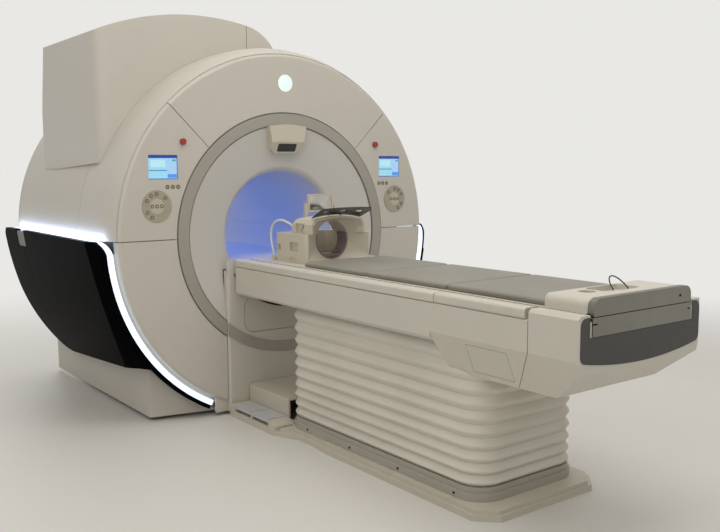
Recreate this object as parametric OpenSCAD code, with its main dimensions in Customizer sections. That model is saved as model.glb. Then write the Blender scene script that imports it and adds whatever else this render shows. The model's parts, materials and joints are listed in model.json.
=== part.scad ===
// Walk-up magnetic resonance scanner: round gantry with side pods, lifting table and head coil.
// Millimetres. +Z up, +Y into the bore. Origin on the floor below the bore axis, in the front plane.

/* [Gantry] */
// Height of the bore axis above the floor
bore_height = 980; // [965:5:995]
// Inner radius of the patient bore
bore_radius = 350; // [345:1:355]
// Wall of the patient bore liner
liner_wall = 6; // [4:1:8]
// Radius of the round front face
disc_radius = 990; // [980:5:1000]
// How far the barrel stands outside the front face radius
barrel_step = 45; // [40:1:50]
// Length of the gantry from front face to back face
gantry_length = 1650; // [1620:10:1700]
// Thickness of the moulded covers
cover_wall = 8; // [6:1:10]
// Clearance between pieces that sit against each other
fit = 0.6; // [0.5:0.1:0.8]
// Gap between neighbouring covers
cover_seam = 4; // [2:1:6]
// Rounding of the front face edge
edge_round = 20; // [14:1:24]
// Length of the front shoulder shell
shoulder_length = 430; // [400:10:460]
// Large radius that rounds the shoulder
shoulder_radius = 300; // [280:10:320]
// Height of the cover bottoms above the floor
floor_gap = 20; // [12:1:28]
// Half width of the docking cover below the bore
dock_half_width = 392; // [385:1:400]
// How far the docking cover stands proud
dock_proud = 12; // [8:1:16]
// Height of the docking cover's outer ears above the table deck
dock_ear = 20; // [10:1:26]
// Angle of the upper seams from level
seam_angle = 45; // [43:1:48]
// Radius of the rounded rear rim
rear_round = 130; // [110:5:150]

/* [Trim ring] */
// Outer radius of the trim ring
ring_radius = 667; // [660:1:672]
// Radial width of the trim ring
ring_width = 60; // [54:1:66]
// Dark gap at both edges of the ring
ring_gap = 7; // [5:1:9]
// How far the ring stands proud of the front face
ring_proud = 5; // [3:1:8]
// Depth of the flared mouth of the bore
mouth_depth = 50; // [44:1:56]
// Rounding of the bore's lip
lip_round = 42; // [36:1:46]

/* [Magnet] */
// Outer radius of the magnet vessel
vessel_radius = 905; // [890:5:915]
// Length of the magnet vessel
vessel_length = 1330; // [1300:10:1350]
// Wall of the magnet vessel
vessel_wall = 10; // [8:1:14]
// Radius of the warm bore through the vessel
warm_bore = 464; // [460:1:470]
// Length of the gradient coil
gradient_length = 1180; // [1100:10:1200]
// Thickness of the body coil tube
body_coil_wall = 12; // [8:1:14]
// Length of the body coil
body_coil_length = 1000; // [900:10:1050]
// Distance of the magnet's feet from the middle
foot_spread = 430; // [420:5:450]
// Radius of the cold head
cold_head_radius = 80; // [70:1:90]
// Radius of the vent turret
turret_radius = 62; // [56:1:68]

/* [Top hood] */
// Left side plane of the hood
hood_side = 972; // [966:1:980]
// Distance of the hood behind the front face
hood_front = 270; // [262:2:290]
// Depth of the hood at its lower edge
hood_depth = 950; // [920:5:970]
// Lower edge of the hood above the floor
hood_foot = 1380; // [1370:1:1390]
// Radius of the long crown arc
crown_radius = 1490; // [1480:1:1500]
// Height of the crown above the barrel covers
crown_height = 162; // [155:1:169]
// Distance of the crown's top left of the middle
crown_shift = 369; // [360:1:378]
// Radius of the hood's end bend
hood_end_radius = 275; // [270:1:280]
// Distance of the hood's seam left of the middle
hood_seam = 88; // [82:1:96]
// Rounding of the hood's upright corners
hood_round = 70; // [60:1:80]

/* [Side pods] */
// Height of the pods' top rim above the floor
pod_top = 984; // [980:1:988]
// Thickness of the pod shell
pod_wall = 28; // [24:1:32]
// Half width of the gantry over the pods' rims
pod_half_width = 1107; // [1102:1:1112]
// Radius of the pods' side curve
pod_side_radius = 1892; // [1880:2:1904]
// Height of the side curve's centre
pod_curve_height = 1200; // [1190:2:1210]
// Plan radius of the pods' front rounding
pod_nose_radius = 660; // [640:5:680]
// Length of the pods' front rounding
pod_nose = 305; // [295:5:315]
// Length of the pods
pod_length = 1600; // [1570:10:1620]
// Distance of the pod's seam behind the front face
pod_seam = 1240; // [1220:5:1260]
// Lower edge of the pods at the front
pod_foot_front = 306; // [302:1:312]
// Lower edge of the pods at the back
pod_foot_back = 216; // [214:1:224]
// Radius of the sweep at the pods' lower back corner
pod_sweep = 420; // [400:5:440]
// Radial width of the light strip
light_width = 30; // [26:1:34]
// Half width of the plinth under the gantry
plinth_half_width = 788; // [780:1:792]
// Wall of the plinth
plinth_wall = 12; // [10:1:16]
// Height of the plinth walls
plinth_height = 300; // [290:2:304]

/* [Controls] */
// Distance of the stop buttons from the middle
stop_x = 627; // [622:1:632]
// Height of the stop buttons
stop_z = 1484; // [1478:1:1490]
// Radius of a stop button
stop_radius = 16; // [14:1:20]
// Travel of a stop button
stop_travel = 5; // [4:1:6]
// Distance of the displays from the middle
display_x = 738; // [734:1:742]
// Height of the displays
display_z = 1354; // [1350:1:1358]
// Width of a display
display_width = 158; // [150:1:162]
// Height of a display face
display_height = 123; // [116:1:126]
// Distance of the keypads from the middle
keypad_x = 778; // [774:1:782]
// Height of the keypads
keypad_z = 1156; // [1152:1:1160]
// Outer radius of a keypad
keypad_radius = 81; // [76:1:84]
// Radius of the round light on the top cover
emblem_radius = 46; // [40:1:50]
// Height of the round light
emblem_z = 1813; // [1808:1:1820]
// Half width of the sensor housing at its top
sensor_top = 122; // [116:1:126]
// Half width of the sensor housing at its bottom
sensor_bottom = 96; // [90:1:100]
// Height of the sensor housing's lower edge
sensor_z = 1428; // [1424:1:1436]

/* [Table] */
// Half width of the table over its side panels
table_half_width = 354; // [351:1:357]
// Distance of the table's head end in front of the front face
table_head = 34; // [30:1:40]
// Distance of the table's foot end in front of the front face
table_foot = 2333; // [2323:5:2343]
// Height of the deck that carries the cradle
deck_height = 836; // [834:1:838]
// Top of the side rails above the deck
rail_rise = 23; // [21:1:24]
// Height of the seam under the side rails
rail_seam = 819; // [815:1:821]
// Height of the side panels' lower edge
flange_height = 667; // [663:1:671]
// Height of the lower housing's underside
belly_height = 547; // [543:1:551]
// Height of the crease where the lower housing starts to slope
belly_crease = 703; // [699:1:707]
// Inward run of the lower housing's sloping side
belly_run = 66; // [62:1:70]
// Distance of the lower housing's front from the front face
belly_front = 1607; // [1600:1:1620]
// Distance of the foot housing's seam from the table's foot end
foot_seam = 218; // [210:2:226]
// How far the foot housing's seam runs forward over the slope
seam_slant = 95; // [85:5:105]
// Clearance between parts of the table that slide
slide_gap = 0.6; // [0.5:0.1:0.8]
// Wall of the table's covers
table_wall = 8; // [6:1:9]
// Furthest the table drops below its docked height
table_drop = 250; // [240:5:255]

/* [Cradle] */
// Half width of the cradle
cradle_half_width = 290; // [286:1:292]
// Thickness of the cradle board
cradle_thick = 24; // [20:1:26]
// Half width of the pads
pad_half_width = 270; // [264:1:274]
// Thickness of the pads
pad_thick = 25; // [22:1:30]
// Distance of the pads' head end from the front face
pad_head = 545; // [535:5:555]
// Gap between two pads
pad_gap = 4; // [2:1:6]
// Height of the block at the cradle's foot above the board
block_rise = 48; // [44:1:52]
// Distance of the foot block's front from the front face
block_front = 2125; // [2118:1:2130]
// Thickness of the metal end plates
end_plate = 12; // [10:1:14]
// Height of the seam between the metal end plates above the deck
end_seam = 14; // [12:1:16]
// Furthest the cradle runs into the bore
cradle_travel = 1600; // [1560:10:1620]

/* [Bellows and lift] */
// Half width of the bellows over its folds
bellows_half_width = 304; // [300:1:306]
// Distance of the bellows' front from the front face
bellows_front = 450; // [445:1:460]
// Distance of the bellows' back from the front face
bellows_back = 1835; // [1825:5:1840]
// Corner radius of the bellows
bellows_corner = 120; // [110:5:130]
// Number of folds
bellows_folds = 10; // [9:1:11]
// Depth of a fold
fold_depth = 18; // [15:1:20]
// Share of a fold's height below its crest
fold_crest = 0.4; // [0.36:0.01:0.44]
// Thickness of the bellows' skin
bellows_skin = 4; // [3:1:5]
// Height of the bellows' lower edge
bellows_foot = 98; // [94:1:102]
// Half width of the lift's lower column
column_half_width = 150; // [140:2:156]
// Length of the lift's lower column
column_length = 620; // [600:10:640]
// Wall of the lift's columns
column_wall = 10; // [8:1:12]
// Height of the lift's lower column
column_height = 270; // [262:2:276]
// Length of column that stays inside the next one
column_overlap = 120; // [110:5:130]

/* [Table base] */
// Half width of the base plate
base_half_width = 350; // [346:1:356]
// Height of the base plate
base_height = 42; // [38:1:46]
// Half width of the base at the pedals
base_flare = 398; // [394:1:404]
// Height of the step against the docking cover
step_height = 160; // [150:2:166]
// Half width of the step
step_half_width = 276; // [270:1:280]
// Width of a pedal
pedal_width = 112; // [106:1:116]
// Length of a pedal
pedal_length = 158; // [150:1:162]
// Web between the pedals
pedal_web = 18; // [14:1:22]
// Pedal travel in degrees
pedal_travel = 8; // [6:1:9]
// Radius of the pedals' pin
pedal_pin = 5; // [4:0.5:6]

/* [Head coil] */
// Half width of the head coil
coil_half_width = 205; // [200:1:210]
// Distance of the coil's front face from the front plane
coil_front = 500; // [494:1:506]
// Length of the coil's upper shell
coil_length = 190; // [180:2:196]
// Length of the box behind the upper shell
coil_box_length = 105; // [100:1:110]
// Height of the seam between the coil's halves above the cradle
coil_seam = 150; // [146:1:154]
// Height of the coil above the cradle
coil_height = 241; // [236:1:246]
// Height of the coil's opening axis above the cradle
coil_axis = 114; // [111:1:117]
// Inner radius of the coil
coil_inner = 100; // [96:1:102]
// Depth of the funnel in front of the opening
coil_flare = 65; // [58:1:70]
// Wall of the coil's shell at the funnel's rim
coil_wall = 9; // [7:1:12]
// Reach of the visor in front of its pivot
visor_reach = 111; // [104:1:116]
// Rise of the visor's front edge over its back edge
visor_rise = 36; // [30:1:42]
// Lift of the coil's upper half when it is taken off
coil_lift = 50; // [45:5:55]

/* [Hidden] */
$fn = 96;
barrel_radius = disc_radius + barrel_step;
crown_top = bore_height + barrel_radius + crown_height;
seam_y = table_foot - foot_seam;
ring_inner = ring_radius - ring_width;
vessel_front = (gantry_length - vessel_length) / 2;
body_coil_inner = bore_radius + liner_wall + fit;
gradient_inner = body_coil_inner + body_coil_wall + fit;
gradient_radius = warm_bore - fit;
cradle_top = deck_height + 2 + cradle_thick;
cradle_bed = cradle_top - 3;
rail_inner = cradle_half_width + 6;
rail_top = deck_height + rail_rise;
light_front = 22;
light_inner = disc_radius + 18;
light_outer = light_inner + light_width;
pod_front = 46;
tail_angle = 62;
pod_centre_x = sqrt(pow(pod_side_radius, 2) - pow(pod_curve_height - pod_top, 2)) - pod_half_width;
pedal_front = 76;
column_front = 820;
column_foot = base_height;
bellows_top = flange_height - 18;
coil_z = cradle_bed;
plate_y = cover_wall + 0.5;
bridge_half = sqrt(pow(bore_radius - 3, 2) - pow(bore_height - deck_height, 2));
big = 3000;

magnet_vessel();
magnet_feet();
gradient_coil();
body_coil();
cold_head();
vent_turret();
bore_liner_top();
bore_liner_base();
bore_mouth();
trim_ring();
cover_top();
covers_upper();
covers_lower();
dock_cover();
shoulders();
barrel_covers();
rear_covers();
rear_mouth();
hood();
hood_end();
pods();
pod_lights();
pod_latches();
plinths();
displays();
keypads();
emblem_light();
sensor_housing();
sensor_lens();
bridge();
dock_step();
base_plate();
bellows_clamp();
clamp_screws();
lift_base();
bellows();
lift_mid();
lift_top();
table_frame();
table_rails();
foot_housing();
foot_plate();
end_strip();
side_door();
cradle();
pads();
cradle_block();
cradle_end();
pull_loop();
coil_base();
coil_liner();
coil_cable();
coil_top();
coil_visor();
mirror_frame();
mirror_glass();
stop_left();
stop_right();
pedal_up();
pedal_down();

// shared helpers

// an (x, z) outline drawn from y0 to y1
module along_y(y0, y1)
  translate([0, y1, 0]) rotate([90, 0, 0]) linear_extrude(height = y1 - y0) children();

// a (y, z) outline drawn from x0 to x1
module along_x(x0, x1)
  translate([x0, 0, 0]) rotate([90, 0, 90]) linear_extrude(height = x1 - x0) children();

// an (x, y) outline drawn from z0 to z1
module along_z(z0, z1) translate([0, 0, z0]) linear_extrude(height = z1 - z0) children();

module block(x0, x1, y0, y1, z0, z1) translate([x0, y0, z0]) cube([x1 - x0, y1 - y0, z1 - z0]);

// round bar on the bore axis
module bore_bar(r, y0, y1)
  translate([0, y0, bore_height]) rotate([-90, 0, 0]) cylinder(r = r, h = y1 - y0);

module bore_tube(r_out, r_in, y0, y1) difference() {
  bore_bar(r_out, y0, y1);
  bore_bar(r_in, y0 - 1, y1 + 1);
}

// a (radius, y) outline turned about the bore axis
module turned() translate([0, 0, bore_height]) rotate([-90, 0, 0]) rotate_extrude() children();

// wedge of the gantry between two angles, counted from +X upwards
module wedge(a0, a1, y0, y1) {
  m = (a0 + a1) / 2;
  k = big / cos((a1 - a0) / 2);
  along_y(y0, y1) translate([0, bore_height]) polygon([
    [0, 0], [big * cos(a0), big * sin(a0)], [k * cos(m), k * sin(m)], [big * cos(a1), big * sin(a1)]
  ]);
}

module both() {
  children();
  mirror([1, 0, 0]) children();
}

// rectangle with round corners, by its limits
module soft_rect(x0, x1, y0, y1, r) {
  translate([x0 + r, y0]) square([x1 - x0 - 2 * r, y1 - y0]);
  translate([x0, y0 + r]) square([x1 - x0, y1 - y0 - 2 * r]);
  for (x = [x0 + r, x1 - r], y = [y0 + r, y1 - r]) translate([x, y]) circle(r = r);
}

// gantry: magnet and coils inside

module magnet_vessel() color("silver") {
  vessel_shell();
  cover_posts();
}

module vessel_shell() difference() {
  bore_tube(vessel_radius, warm_bore, vessel_front, vessel_front + vessel_length);
  bore_tube(vessel_radius - vessel_wall, warm_bore + vessel_wall,
    vessel_front + vessel_wall, vessel_front + vessel_length - vessel_wall);
  cold_head_axis() cylinder(r = cold_head_radius - 20, h = big);
  turret_axis() cylinder(r = turret_radius - 10, h = big);
}

// posts on the vessel that carry the front and rear covers
module cover_posts() for (a = [25, 70, 110, 155, 205, 335]) {
  post(a, ring_radius + 6, plate_y + 6 + fit, vessel_front + 1);
  post(a, ring_radius + 6, vessel_front + vessel_length - 1, gantry_length - cover_wall - fit);
}

module post(a, r, y0, y1)
  translate([r * cos(a), y0, bore_height + r * sin(a)]) rotate([-90, 0, 0]) cylinder(r = 14, h = y1 - y0);

module magnet_feet() color("gray") both() for (y = [vessel_front + 120, vessel_front + vessel_length - 280])
  difference() {
    block(foot_spread - 80, foot_spread + 80, y, y + 160, 0, 320);
    bore_bar(vessel_radius + 0.5, y - 10, y + 170);
  }

module gradient_coil() color("orange")
  bore_tube(gradient_radius, gradient_inner, (gantry_length - gradient_length) / 2,
    (gantry_length + gradient_length) / 2);

module body_coil() color("white")
  bore_tube(body_coil_inner + body_coil_wall, body_coil_inner,
    (gantry_length - body_coil_length) / 2, (gantry_length + body_coil_length) / 2);

head_rise = crown_top - bore_height - 197;
module cold_head_axis() translate([-600, 700, bore_height]) children();
module turret_axis() translate([-340, 760, bore_height]) children();

module cold_head() color("silver") difference() {
  cold_head_axis() {
    cylinder(r = cold_head_radius, h = head_rise);
    translate([0, 0, head_rise - 150]) cylinder(r = cold_head_radius + 24, h = 30);
    translate([0, 0, head_rise]) cylinder(r = cold_head_radius - 24, h = 50);
  }
  bore_bar(vessel_radius + 0.5, 0, gantry_length);
}

module vent_turret() color("silver") difference() {
  turret_axis() {
    cylinder(r = turret_radius, h = head_rise + 120);
    translate([0, 0, head_rise + 120]) cylinder(r = turret_radius + 26, h = 24);
  }
  turret_axis() cylinder(r = turret_radius - 6, h = head_rise + 100);
  bore_bar(vessel_radius + 0.5, 0, gantry_length);
}

// bore: liner, mouth and bridge

lip_y = mouth_depth + lip_round;
mouth_rim = ring_inner - ring_gap;
mouth_run = mouth_rim - bore_radius - lip_round;
mouth_slope = atan((lip_y - 3) / mouth_run) - asin(lip_round / norm([mouth_run, lip_y - 3]));
liner_front = lip_y + fit;
liner_back = gantry_length - lip_y - fit;

module liner(z0, z1) intersection() {
  bore_tube(bore_radius + liner_wall, bore_radius, liner_front, liner_back);
  block(-big, big, 0, gantry_length, z0, z1);
}

module bore_liner_top() color("white") liner(bore_height + fit / 2, big);
module bore_liner_base() color("white") liner(0, bore_height - fit / 2);

// points of an arc
function arc(c, r, a0, a1, n) = [for (i = [0:n]) let(a = a0 + (a1 - a0) * i / n) c + r * [cos(a), sin(a)]];

// dished mouth of the bore with a rounded lip, in (radius, y)
module mouth_outline() {
  c = [bore_radius + lip_round, lip_y];
  w = cover_wall;
  y1 = 3 + w / cos(mouth_slope);
  polygon(concat([[mouth_rim, 3]], arc(c, lip_round, 270 - mouth_slope, 180, 16),
    arc(c, lip_round - w, 180, 270 - mouth_slope, 16),
    [[mouth_rim - w, y1 + w * tan(mouth_slope)], [mouth_rim - w, 24], [mouth_rim, 24]]));
}

module bore_mouth() color("white") difference() {
  turned() mouth_outline();
  block(-dock_half_width - 1, dock_half_width + 1, -1, 140, 0, deck_height - 36);
  block(-bridge_half - 5, bridge_half + 5, -1, 140, 0, deck_height + 1);
}

module rear_mouth() color("white") difference() {
  translate([0, gantry_length, 0]) mirror([0, 1, 0]) turned() mouth_outline();
  block(-bridge_half - 5, bridge_half + 5, gantry_length - 140, gantry_length + 1, 0, deck_height + 1);
}

// track that carries the cradle through the bore
module bridge() color("white") intersection() {
  bore_bar(bore_radius - 0.5, 2, gantry_length);
  union() {
    block(-bridge_half, bridge_half, 2, gantry_length - 2, deck_height - 12, deck_height);
    for (x = [-180, 60]) block(x, x + 12, liner_front, liner_back, 0, deck_height - 12);
    for (x = [-72, 168]) block(x, x + 12, liner_front, liner_back, 0, deck_height - 12);
  }
}

// gantry covers

module ring_face(proud) difference() {
  union() {
    bore_tube(ring_radius, ring_inner, -proud, cover_wall - 2);
    bore_tube(ring_radius + ring_gap + 16, ring_inner - ring_gap + fit, plate_y, plate_y + 6);
    bore_tube(ring_radius - 10, ring_inner + 10, cover_wall - 2, plate_y);
  }
}

module trim_ring() color("silver") {
  difference() {
    ring_face(ring_proud);
    block(-dock_half_width - cover_seam, dock_half_width + cover_seam, -50, 60, 0, bore_height);
  }
  difference() {
    intersection() {
      bore_tube(ring_radius, ring_inner, -dock_proud - ring_proud, -dock_proud);
      block(-dock_half_width, dock_half_width, -50, 60, 0, bore_height);
    }
  }
}

// front face skin with a rounded edge, in (radius, y)
module face_skin(r0, t, depth) {
  e = edge_round;
  translate([r0, t]) square([disc_radius - e - r0, depth - t]);
  translate([r0, e]) square([disc_radius - t - r0, depth - e]);
  translate([disc_radius - e, e]) circle(r = e - t);
}

module face(depth = 40) difference() {
  turned() face_skin(ring_radius + ring_gap, 0, depth);
  turned() face_skin(ring_radius + ring_gap - 1, cover_wall, depth + 1);
}

module cover_top() color("white") difference() {
  intersection() {
    face();
    wedge(seam_angle, 180 - seam_angle, -20, 60);
  }
  translate([0, -20, emblem_z]) rotate([-90, 0, 0]) cylinder(r = emblem_radius + 0.5, h = 60);
}

module cover_upper() difference() {
  intersection() {
    face();
    block(0, big, -20, 60, bore_height + 4, big);
  }
  wedge(seam_angle - 0.25, 180, -30, 70);
  display_place() block(-display_width / 2 - fit, display_width / 2 + fit, -20, 40,
    -display_height / 2 - fit, display_height / 2 + fit);
  translate([stop_x, -20, stop_z]) rotate([-90, 0, 0]) cylinder(r = stop_radius + fit, h = 60);
  translate([keypad_x, -20, keypad_z]) rotate([-90, 0, 0]) cylinder(r = keypad_radius + fit, h = 22);
}

module covers_upper() color("white") both() cover_upper();

module cover_lower() {
  difference() {
    intersection() {
      union() {
        face(light_front + 30 + fit + 8);
        bore_tube(light_outer, disc_radius - cover_wall, light_front + 30 + fit, light_front + 30 + fit + 8);
      }
      block(dock_half_width + cover_seam, big, -20, 70, floor_gap, bore_height + 4 - cover_seam);
    }
    difference() {
      block(disc_radius - 100, big, 40, 80, bore_height - 60, bore_height + 10);
      bore_bar(disc_radius, 0, 100);
    }
    difference() {
      wedge(-90, -tail_angle - 1.5, 40, 70);
      bore_bar(disc_radius, 0, 100);
    }
  }
}

module covers_lower() color("white") both() cover_lower();

// cover below the bore that the table docks against
module dock_cover() color("white") {
  difference() {
    along_z(0, big) dock_plan();
    block(-big, big, -50, 60, 0, floor_gap);
    block(-big, big, -50, 60, deck_height - 40, 3 * big);
    bore_bar(bore_radius + 60, -50, 60);
    along_y(-50, -dock_proud + 3) soft_rect(-288, 288, deck_height - 388, deck_height - 190, 56);
    along_y(-50, -dock_proud + 8) difference() {
      soft_rect(-292, 292, deck_height - 392, deck_height - 186, 60);
      soft_rect(-288, 288, deck_height - 388, deck_height - 190, 56);
    }
  }
  both() dock_ear_block();
}

// plan of the docking cover, with softly rounded front corners, open at the back
module dock_plan() difference() {
  soft_rect(-dock_half_width, dock_half_width, -dock_proud, 60, 16);
  translate([-dock_half_width + cover_wall, -dock_proud + cover_wall + 8])
    square([2 * (dock_half_width - cover_wall), 100]);
  translate([-big, plate_y + 20]) square([2 * big, 100]);
}

module dock_ear_block() difference() {
  union() {
    block(-dock_half_width, -table_half_width + 47, -dock_proud, plate_y - 1,
      deck_height - 60, deck_height + dock_ear - 16);
    block(-dock_half_width + 16, -table_half_width + 47, -dock_proud, plate_y - 1,
      deck_height - 60, deck_height + dock_ear);
    translate([-dock_half_width + 16, -dock_proud, deck_height + dock_ear - 16]) rotate([-90, 0, 0])
      cylinder(r = 16, h = plate_y - 1 + dock_proud);
  }
  bore_tube(ring_inner - ring_gap + 2, bore_radius - 20, 0.5, 60);
}

// front shoulder from the edge of the face to the barrel, in (radius, y)
shoulder_y = 165;
module shoulder_outline() {
  r1 = disc_radius + 4;
  y1 = shoulder_y - sqrt(pow(shoulder_radius, 2) - pow(shoulder_radius - (barrel_radius - r1), 2));
  w = cover_wall;
  c = [barrel_radius - shoulder_radius, shoulder_y];
  difference() {
    union() {
      intersection() {
        translate(c) circle(r = shoulder_radius);
        translate([disc_radius + fit, y1]) square([big, shoulder_y - y1]);
      }
      translate([barrel_radius - w, shoulder_y - 0.5]) square([w, shoulder_length - shoulder_y + 0.5]);
    }
    translate(c) circle(r = shoulder_radius - w);
  }
}

module shoulders() color("white") difference() {
  turned() shoulder_outline();
  block(-big, big, -1, big, -big, pod_top + 1);
  block(-1.5, 1.5, -1, big, bore_height, big);
}

module barrel_covers() color("white") difference() {
  r_in = barrel_radius - cover_wall;
  y0 = shoulder_length + cover_seam;
  y1 = gantry_length - rear_round - cover_seam;
  union() {
    bore_tube(barrel_radius, r_in, y0, y1);
    bore_tube(r_in - fit, r_in - 6, y0 - 24, y0 + 20);
    bore_tube(r_in + 1, r_in - 6, y0, y0 + 20);
    bore_tube(r_in - fit, r_in - 6, y1 - 20, y1 + 13);
    bore_tube(r_in + 1, r_in - 6, y1 - 20, y1);
  }
  block(-big, big, 0, big, -big, pod_top + 1);
  block(-1.5, 1.5, 0, big, bore_height, big);
  block(-760, -240, 560, 960, bore_height, big);
}

// rear face with a rounded rim, in (radius, y)
module rear_outline(t, r0) {
  y1 = gantry_length;
  translate([r0, y1 - rear_round]) square([barrel_radius - rear_round - r0, rear_round - t]);
  if (t > 0) translate([r0, y1 - rear_round - 5]) square([barrel_radius - t - r0, 5]);
  intersection() {
    translate([barrel_radius - rear_round, y1 - rear_round]) circle(r = rear_round - t);
    translate([r0, y1 - rear_round]) square([big, rear_round]);
  }
}

module rear_shell() difference() {
  turned() rear_outline(0, ring_inner - ring_gap + fit);
  turned() rear_outline(cover_wall, ring_inner - ring_gap - 1);
}

module rear_covers() color("white") {
  intersection() {
    rear_shell();
    block(-big, big, 0, big, pod_top + 1, big);
  }
  intersection() {
    rear_shell();
    block(-plinth_half_width + 20, plinth_half_width - 20, 0, big, floor_gap, pod_top + 0.5);
  }
}

// hood over the cold head and the vent

module hood_outline(t) intersection() {
  translate([-crown_shift, crown_top - crown_radius]) circle(r = crown_radius - t);
  translate([-hood_side - 50, hood_foot - 60]) square([big, big]);
}

module hood_side_view(t) polygon([
  [hood_front + t, hood_foot - 1], [hood_front + 0.75 * hood_depth, hood_foot - 36],
  [hood_front + 0.92 * hood_depth, hood_foot - 30], [hood_front + hood_depth - t, hood_foot + 14],
  [hood_front + hood_depth - 135 - t, crown_top - 100],
  [hood_front + hood_depth - 150 - t, crown_top + 100], [hood_front + t, crown_top + 100]
]);

module hood_solid(t) intersection() {
  along_y(0, big) hood_outline(t);
  along_x(-big, big) hood_side_view(t);
  along_z(bore_height, big)
    soft_rect(-hood_side + t, big, hood_front + t, hood_front + hood_depth - t, hood_round - t);
}

module hood() color("white") difference() {
  hood_solid(0);
  hood_solid(cover_wall);
  bore_bar(barrel_radius + fit, 0, gantry_length);
  block(-hood_seam, big, 0, big, 0, big);
}

crown_z = crown_top - crown_radius;
end_x = -crown_shift + (crown_radius - hood_end_radius) * sin(11);
end_z = crown_z + (crown_radius - hood_end_radius) * cos(11);

module hood_end_solid(t) intersection() {
  along_y(hood_front + t, hood_front + hood_depth - 150 - t) union() {
    translate([end_x, end_z]) circle(r = hood_end_radius - t);
  }
  block(-hood_seam + cover_seam, big, 0, big, bore_height, big);
}

module hood_end() color("white") difference() {
  hood_end_solid(0);
  translate([-2 * cover_wall, 0, 0]) hood_end_solid(cover_wall);
  bore_bar(barrel_radius + fit, 0, gantry_length);
}

// pods: black side shells, their light strips, latches and the plinths

// side curve of a left pod, in (x, z)
module pod_curve(t) translate([pod_centre_x, pod_curve_height]) circle(r = pod_side_radius - t, $fn = 200);

// bulge that rounds the pod from its front edge, in (radius, y)
module pod_bulge(t) {
  r1 = light_outer + 24;
  top = r1 + pod_nose_radius - sqrt(pow(pod_nose_radius, 2) - pow(pod_nose, 2));
  y1 = pod_front + pod_nose;
  intersection() {
    translate([top - pod_nose_radius, y1]) circle(r = pod_nose_radius - t);
    translate([0, pod_front + (t > 0 ? 14 : 0)]) square([big, pod_nose]);
  }
  translate([0, y1 - 0.01]) square([top - t, big]);
}

// side view of a pod, in (y, z)
module pod_side_view(t) difference() {
  union() {
    translate([0, pod_foot_front]) square([pod_length - t, pod_top - pod_foot_front - 60]);
    translate([0, 0]) square([pod_length - t - 60, pod_top]);
    translate([pod_length - t - 60, pod_top - 60]) circle(r = 60);
  }
  polygon([[-1, pod_foot_front], [pod_front + 60, pod_foot_front],
    [pod_length - pod_sweep, pod_foot_back], [pod_length - pod_sweep, -1], [-1, -1]]);
  translate([pod_length - pod_sweep, 0]) difference() {
    square([big, pod_foot_back + pod_sweep]);
    translate([-t, pod_foot_back + pod_sweep]) circle(r = pod_sweep);
  }
  difference() {
    translate([-1, pod_top - 70]) square([pod_front + 71, 71]);
    translate([pod_front + 70, pod_top - 70]) circle(r = 70);
  }
}

module pod_solid(t) intersection() {
  along_y(pod_front, pod_length + 10) difference() {
    pod_curve(t);
    translate([0, -100]) square([big, big]);
  }
  turned() pod_bulge(t);
  along_x(-big, 0) pod_side_view(t);
}

module pod_shell() difference() {
  pod_solid(0);
  intersection() {
    turned() pod_bulge(pod_wall);
    along_y(pod_front + 14, pod_length - pod_wall) difference() {
      pod_curve(pod_wall);
      translate([0, -100]) square([big, big]);
    }
    block(-big, 0, 0, big, -100, big);
  }
  bore_bar(light_outer + fit, 0, pod_length - 200);
  bore_bar(barrel_radius + 3, 0, big);
  intersection() {
    bore_bar(barrel_radius + 24 + fit, 0, big);
    block(-big, 0, 0, big, pod_top - 44 - fit, big);
  }
}

// thin dark edge beside the strip, down to the floor
module pod_tail() difference() {
  intersection() {
    bore_tube(light_outer + 22, light_outer + fit, light_front + 8, pod_front + 14);
    wedge(180 + 8, 180 + tail_angle, 0, 100);
  }
  difference() {
    block(-big, 0, pod_front, 100, pod_foot_front, big);
  }
}

module pod_pair() both() difference() {
  union() {
    pod_shell();
  }
  block(-big, 0, pod_seam, pod_seam + cover_seam, 0, big);
  latch_place() along_x(-big, big) soft_rect(-74 - fit, 74 + fit, -60 - fit, 60, 12 + fit);
}

module pods() color("black") {
  pod_pair();
  both() pod_tail();
}

module latch_place() translate([0, pod_seam + 30, pod_top - 40]) children();

module pod_latches() color("gray") both() intersection() {
  difference() {
    pod_solid(3);
    pod_solid(pod_wall - fit);
  }
  latch_place() along_x(-big, big) soft_rect(-74, 74, -60, 30, 12);
}

module pod_light() {
  difference() {
    intersection() {
      bore_tube(light_outer, light_inner, light_front, light_front + 30);
      wedge(180, 180 + tail_angle, 0, 100);
    }
    block(-big, 0, 0, 100, pod_top - 30, big);
  }
  intersection() {
    union() {
      bore_tube(barrel_radius + 24, barrel_radius + 2, light_front + 31, pod_length - 60);
      bore_tube(barrel_radius + 24, light_inner, light_front, light_front + 32);
    }
    block(-big, 0, 0, big, pod_top - 44, pod_top - 24);
  }
}

module pod_lights() color("white") both() pod_light();

module plinth() {
  difference() {
    along_z(floor_gap, plinth_height) difference() {
      polygon([[-plinth_half_width, 150], [-430, 72], [-430, gantry_length - 2],
        [-plinth_half_width, gantry_length - 2]]);
      polygon([[-plinth_half_width + plinth_wall, 150 + plinth_wall], [-400, 72 + plinth_wall],
        [-400, gantry_length - 2 - plinth_wall], [-plinth_half_width + plinth_wall,
        gantry_length - 2 - plinth_wall]]);
    }
    bore_bar(light_outer + 6, 0, 300);
  }
}

// ribs from the plinth wall in to the magnet's feet and out to the pod shells
module plinth_ribs() {
  x0 = -plinth_half_width + plinth_wall;
  for (y = [vessel_front + 180, vessel_front + vessel_length - 220])
    block(x0 - 1, -foot_spread - 80 - fit, y, y + 40, 120, 132);
  for (y = [520, pod_seam + 60]) intersection() {
    block(-big, x0, y, y + 60, plinth_height - 18, plinth_height);
    along_y(0, big) pod_curve(pod_wall + fit);
  }
}

module plinths() color("white") both() difference() {
  union() {
    plinth();
    plinth_ribs();
  }
  rear_keepout();
}

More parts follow.
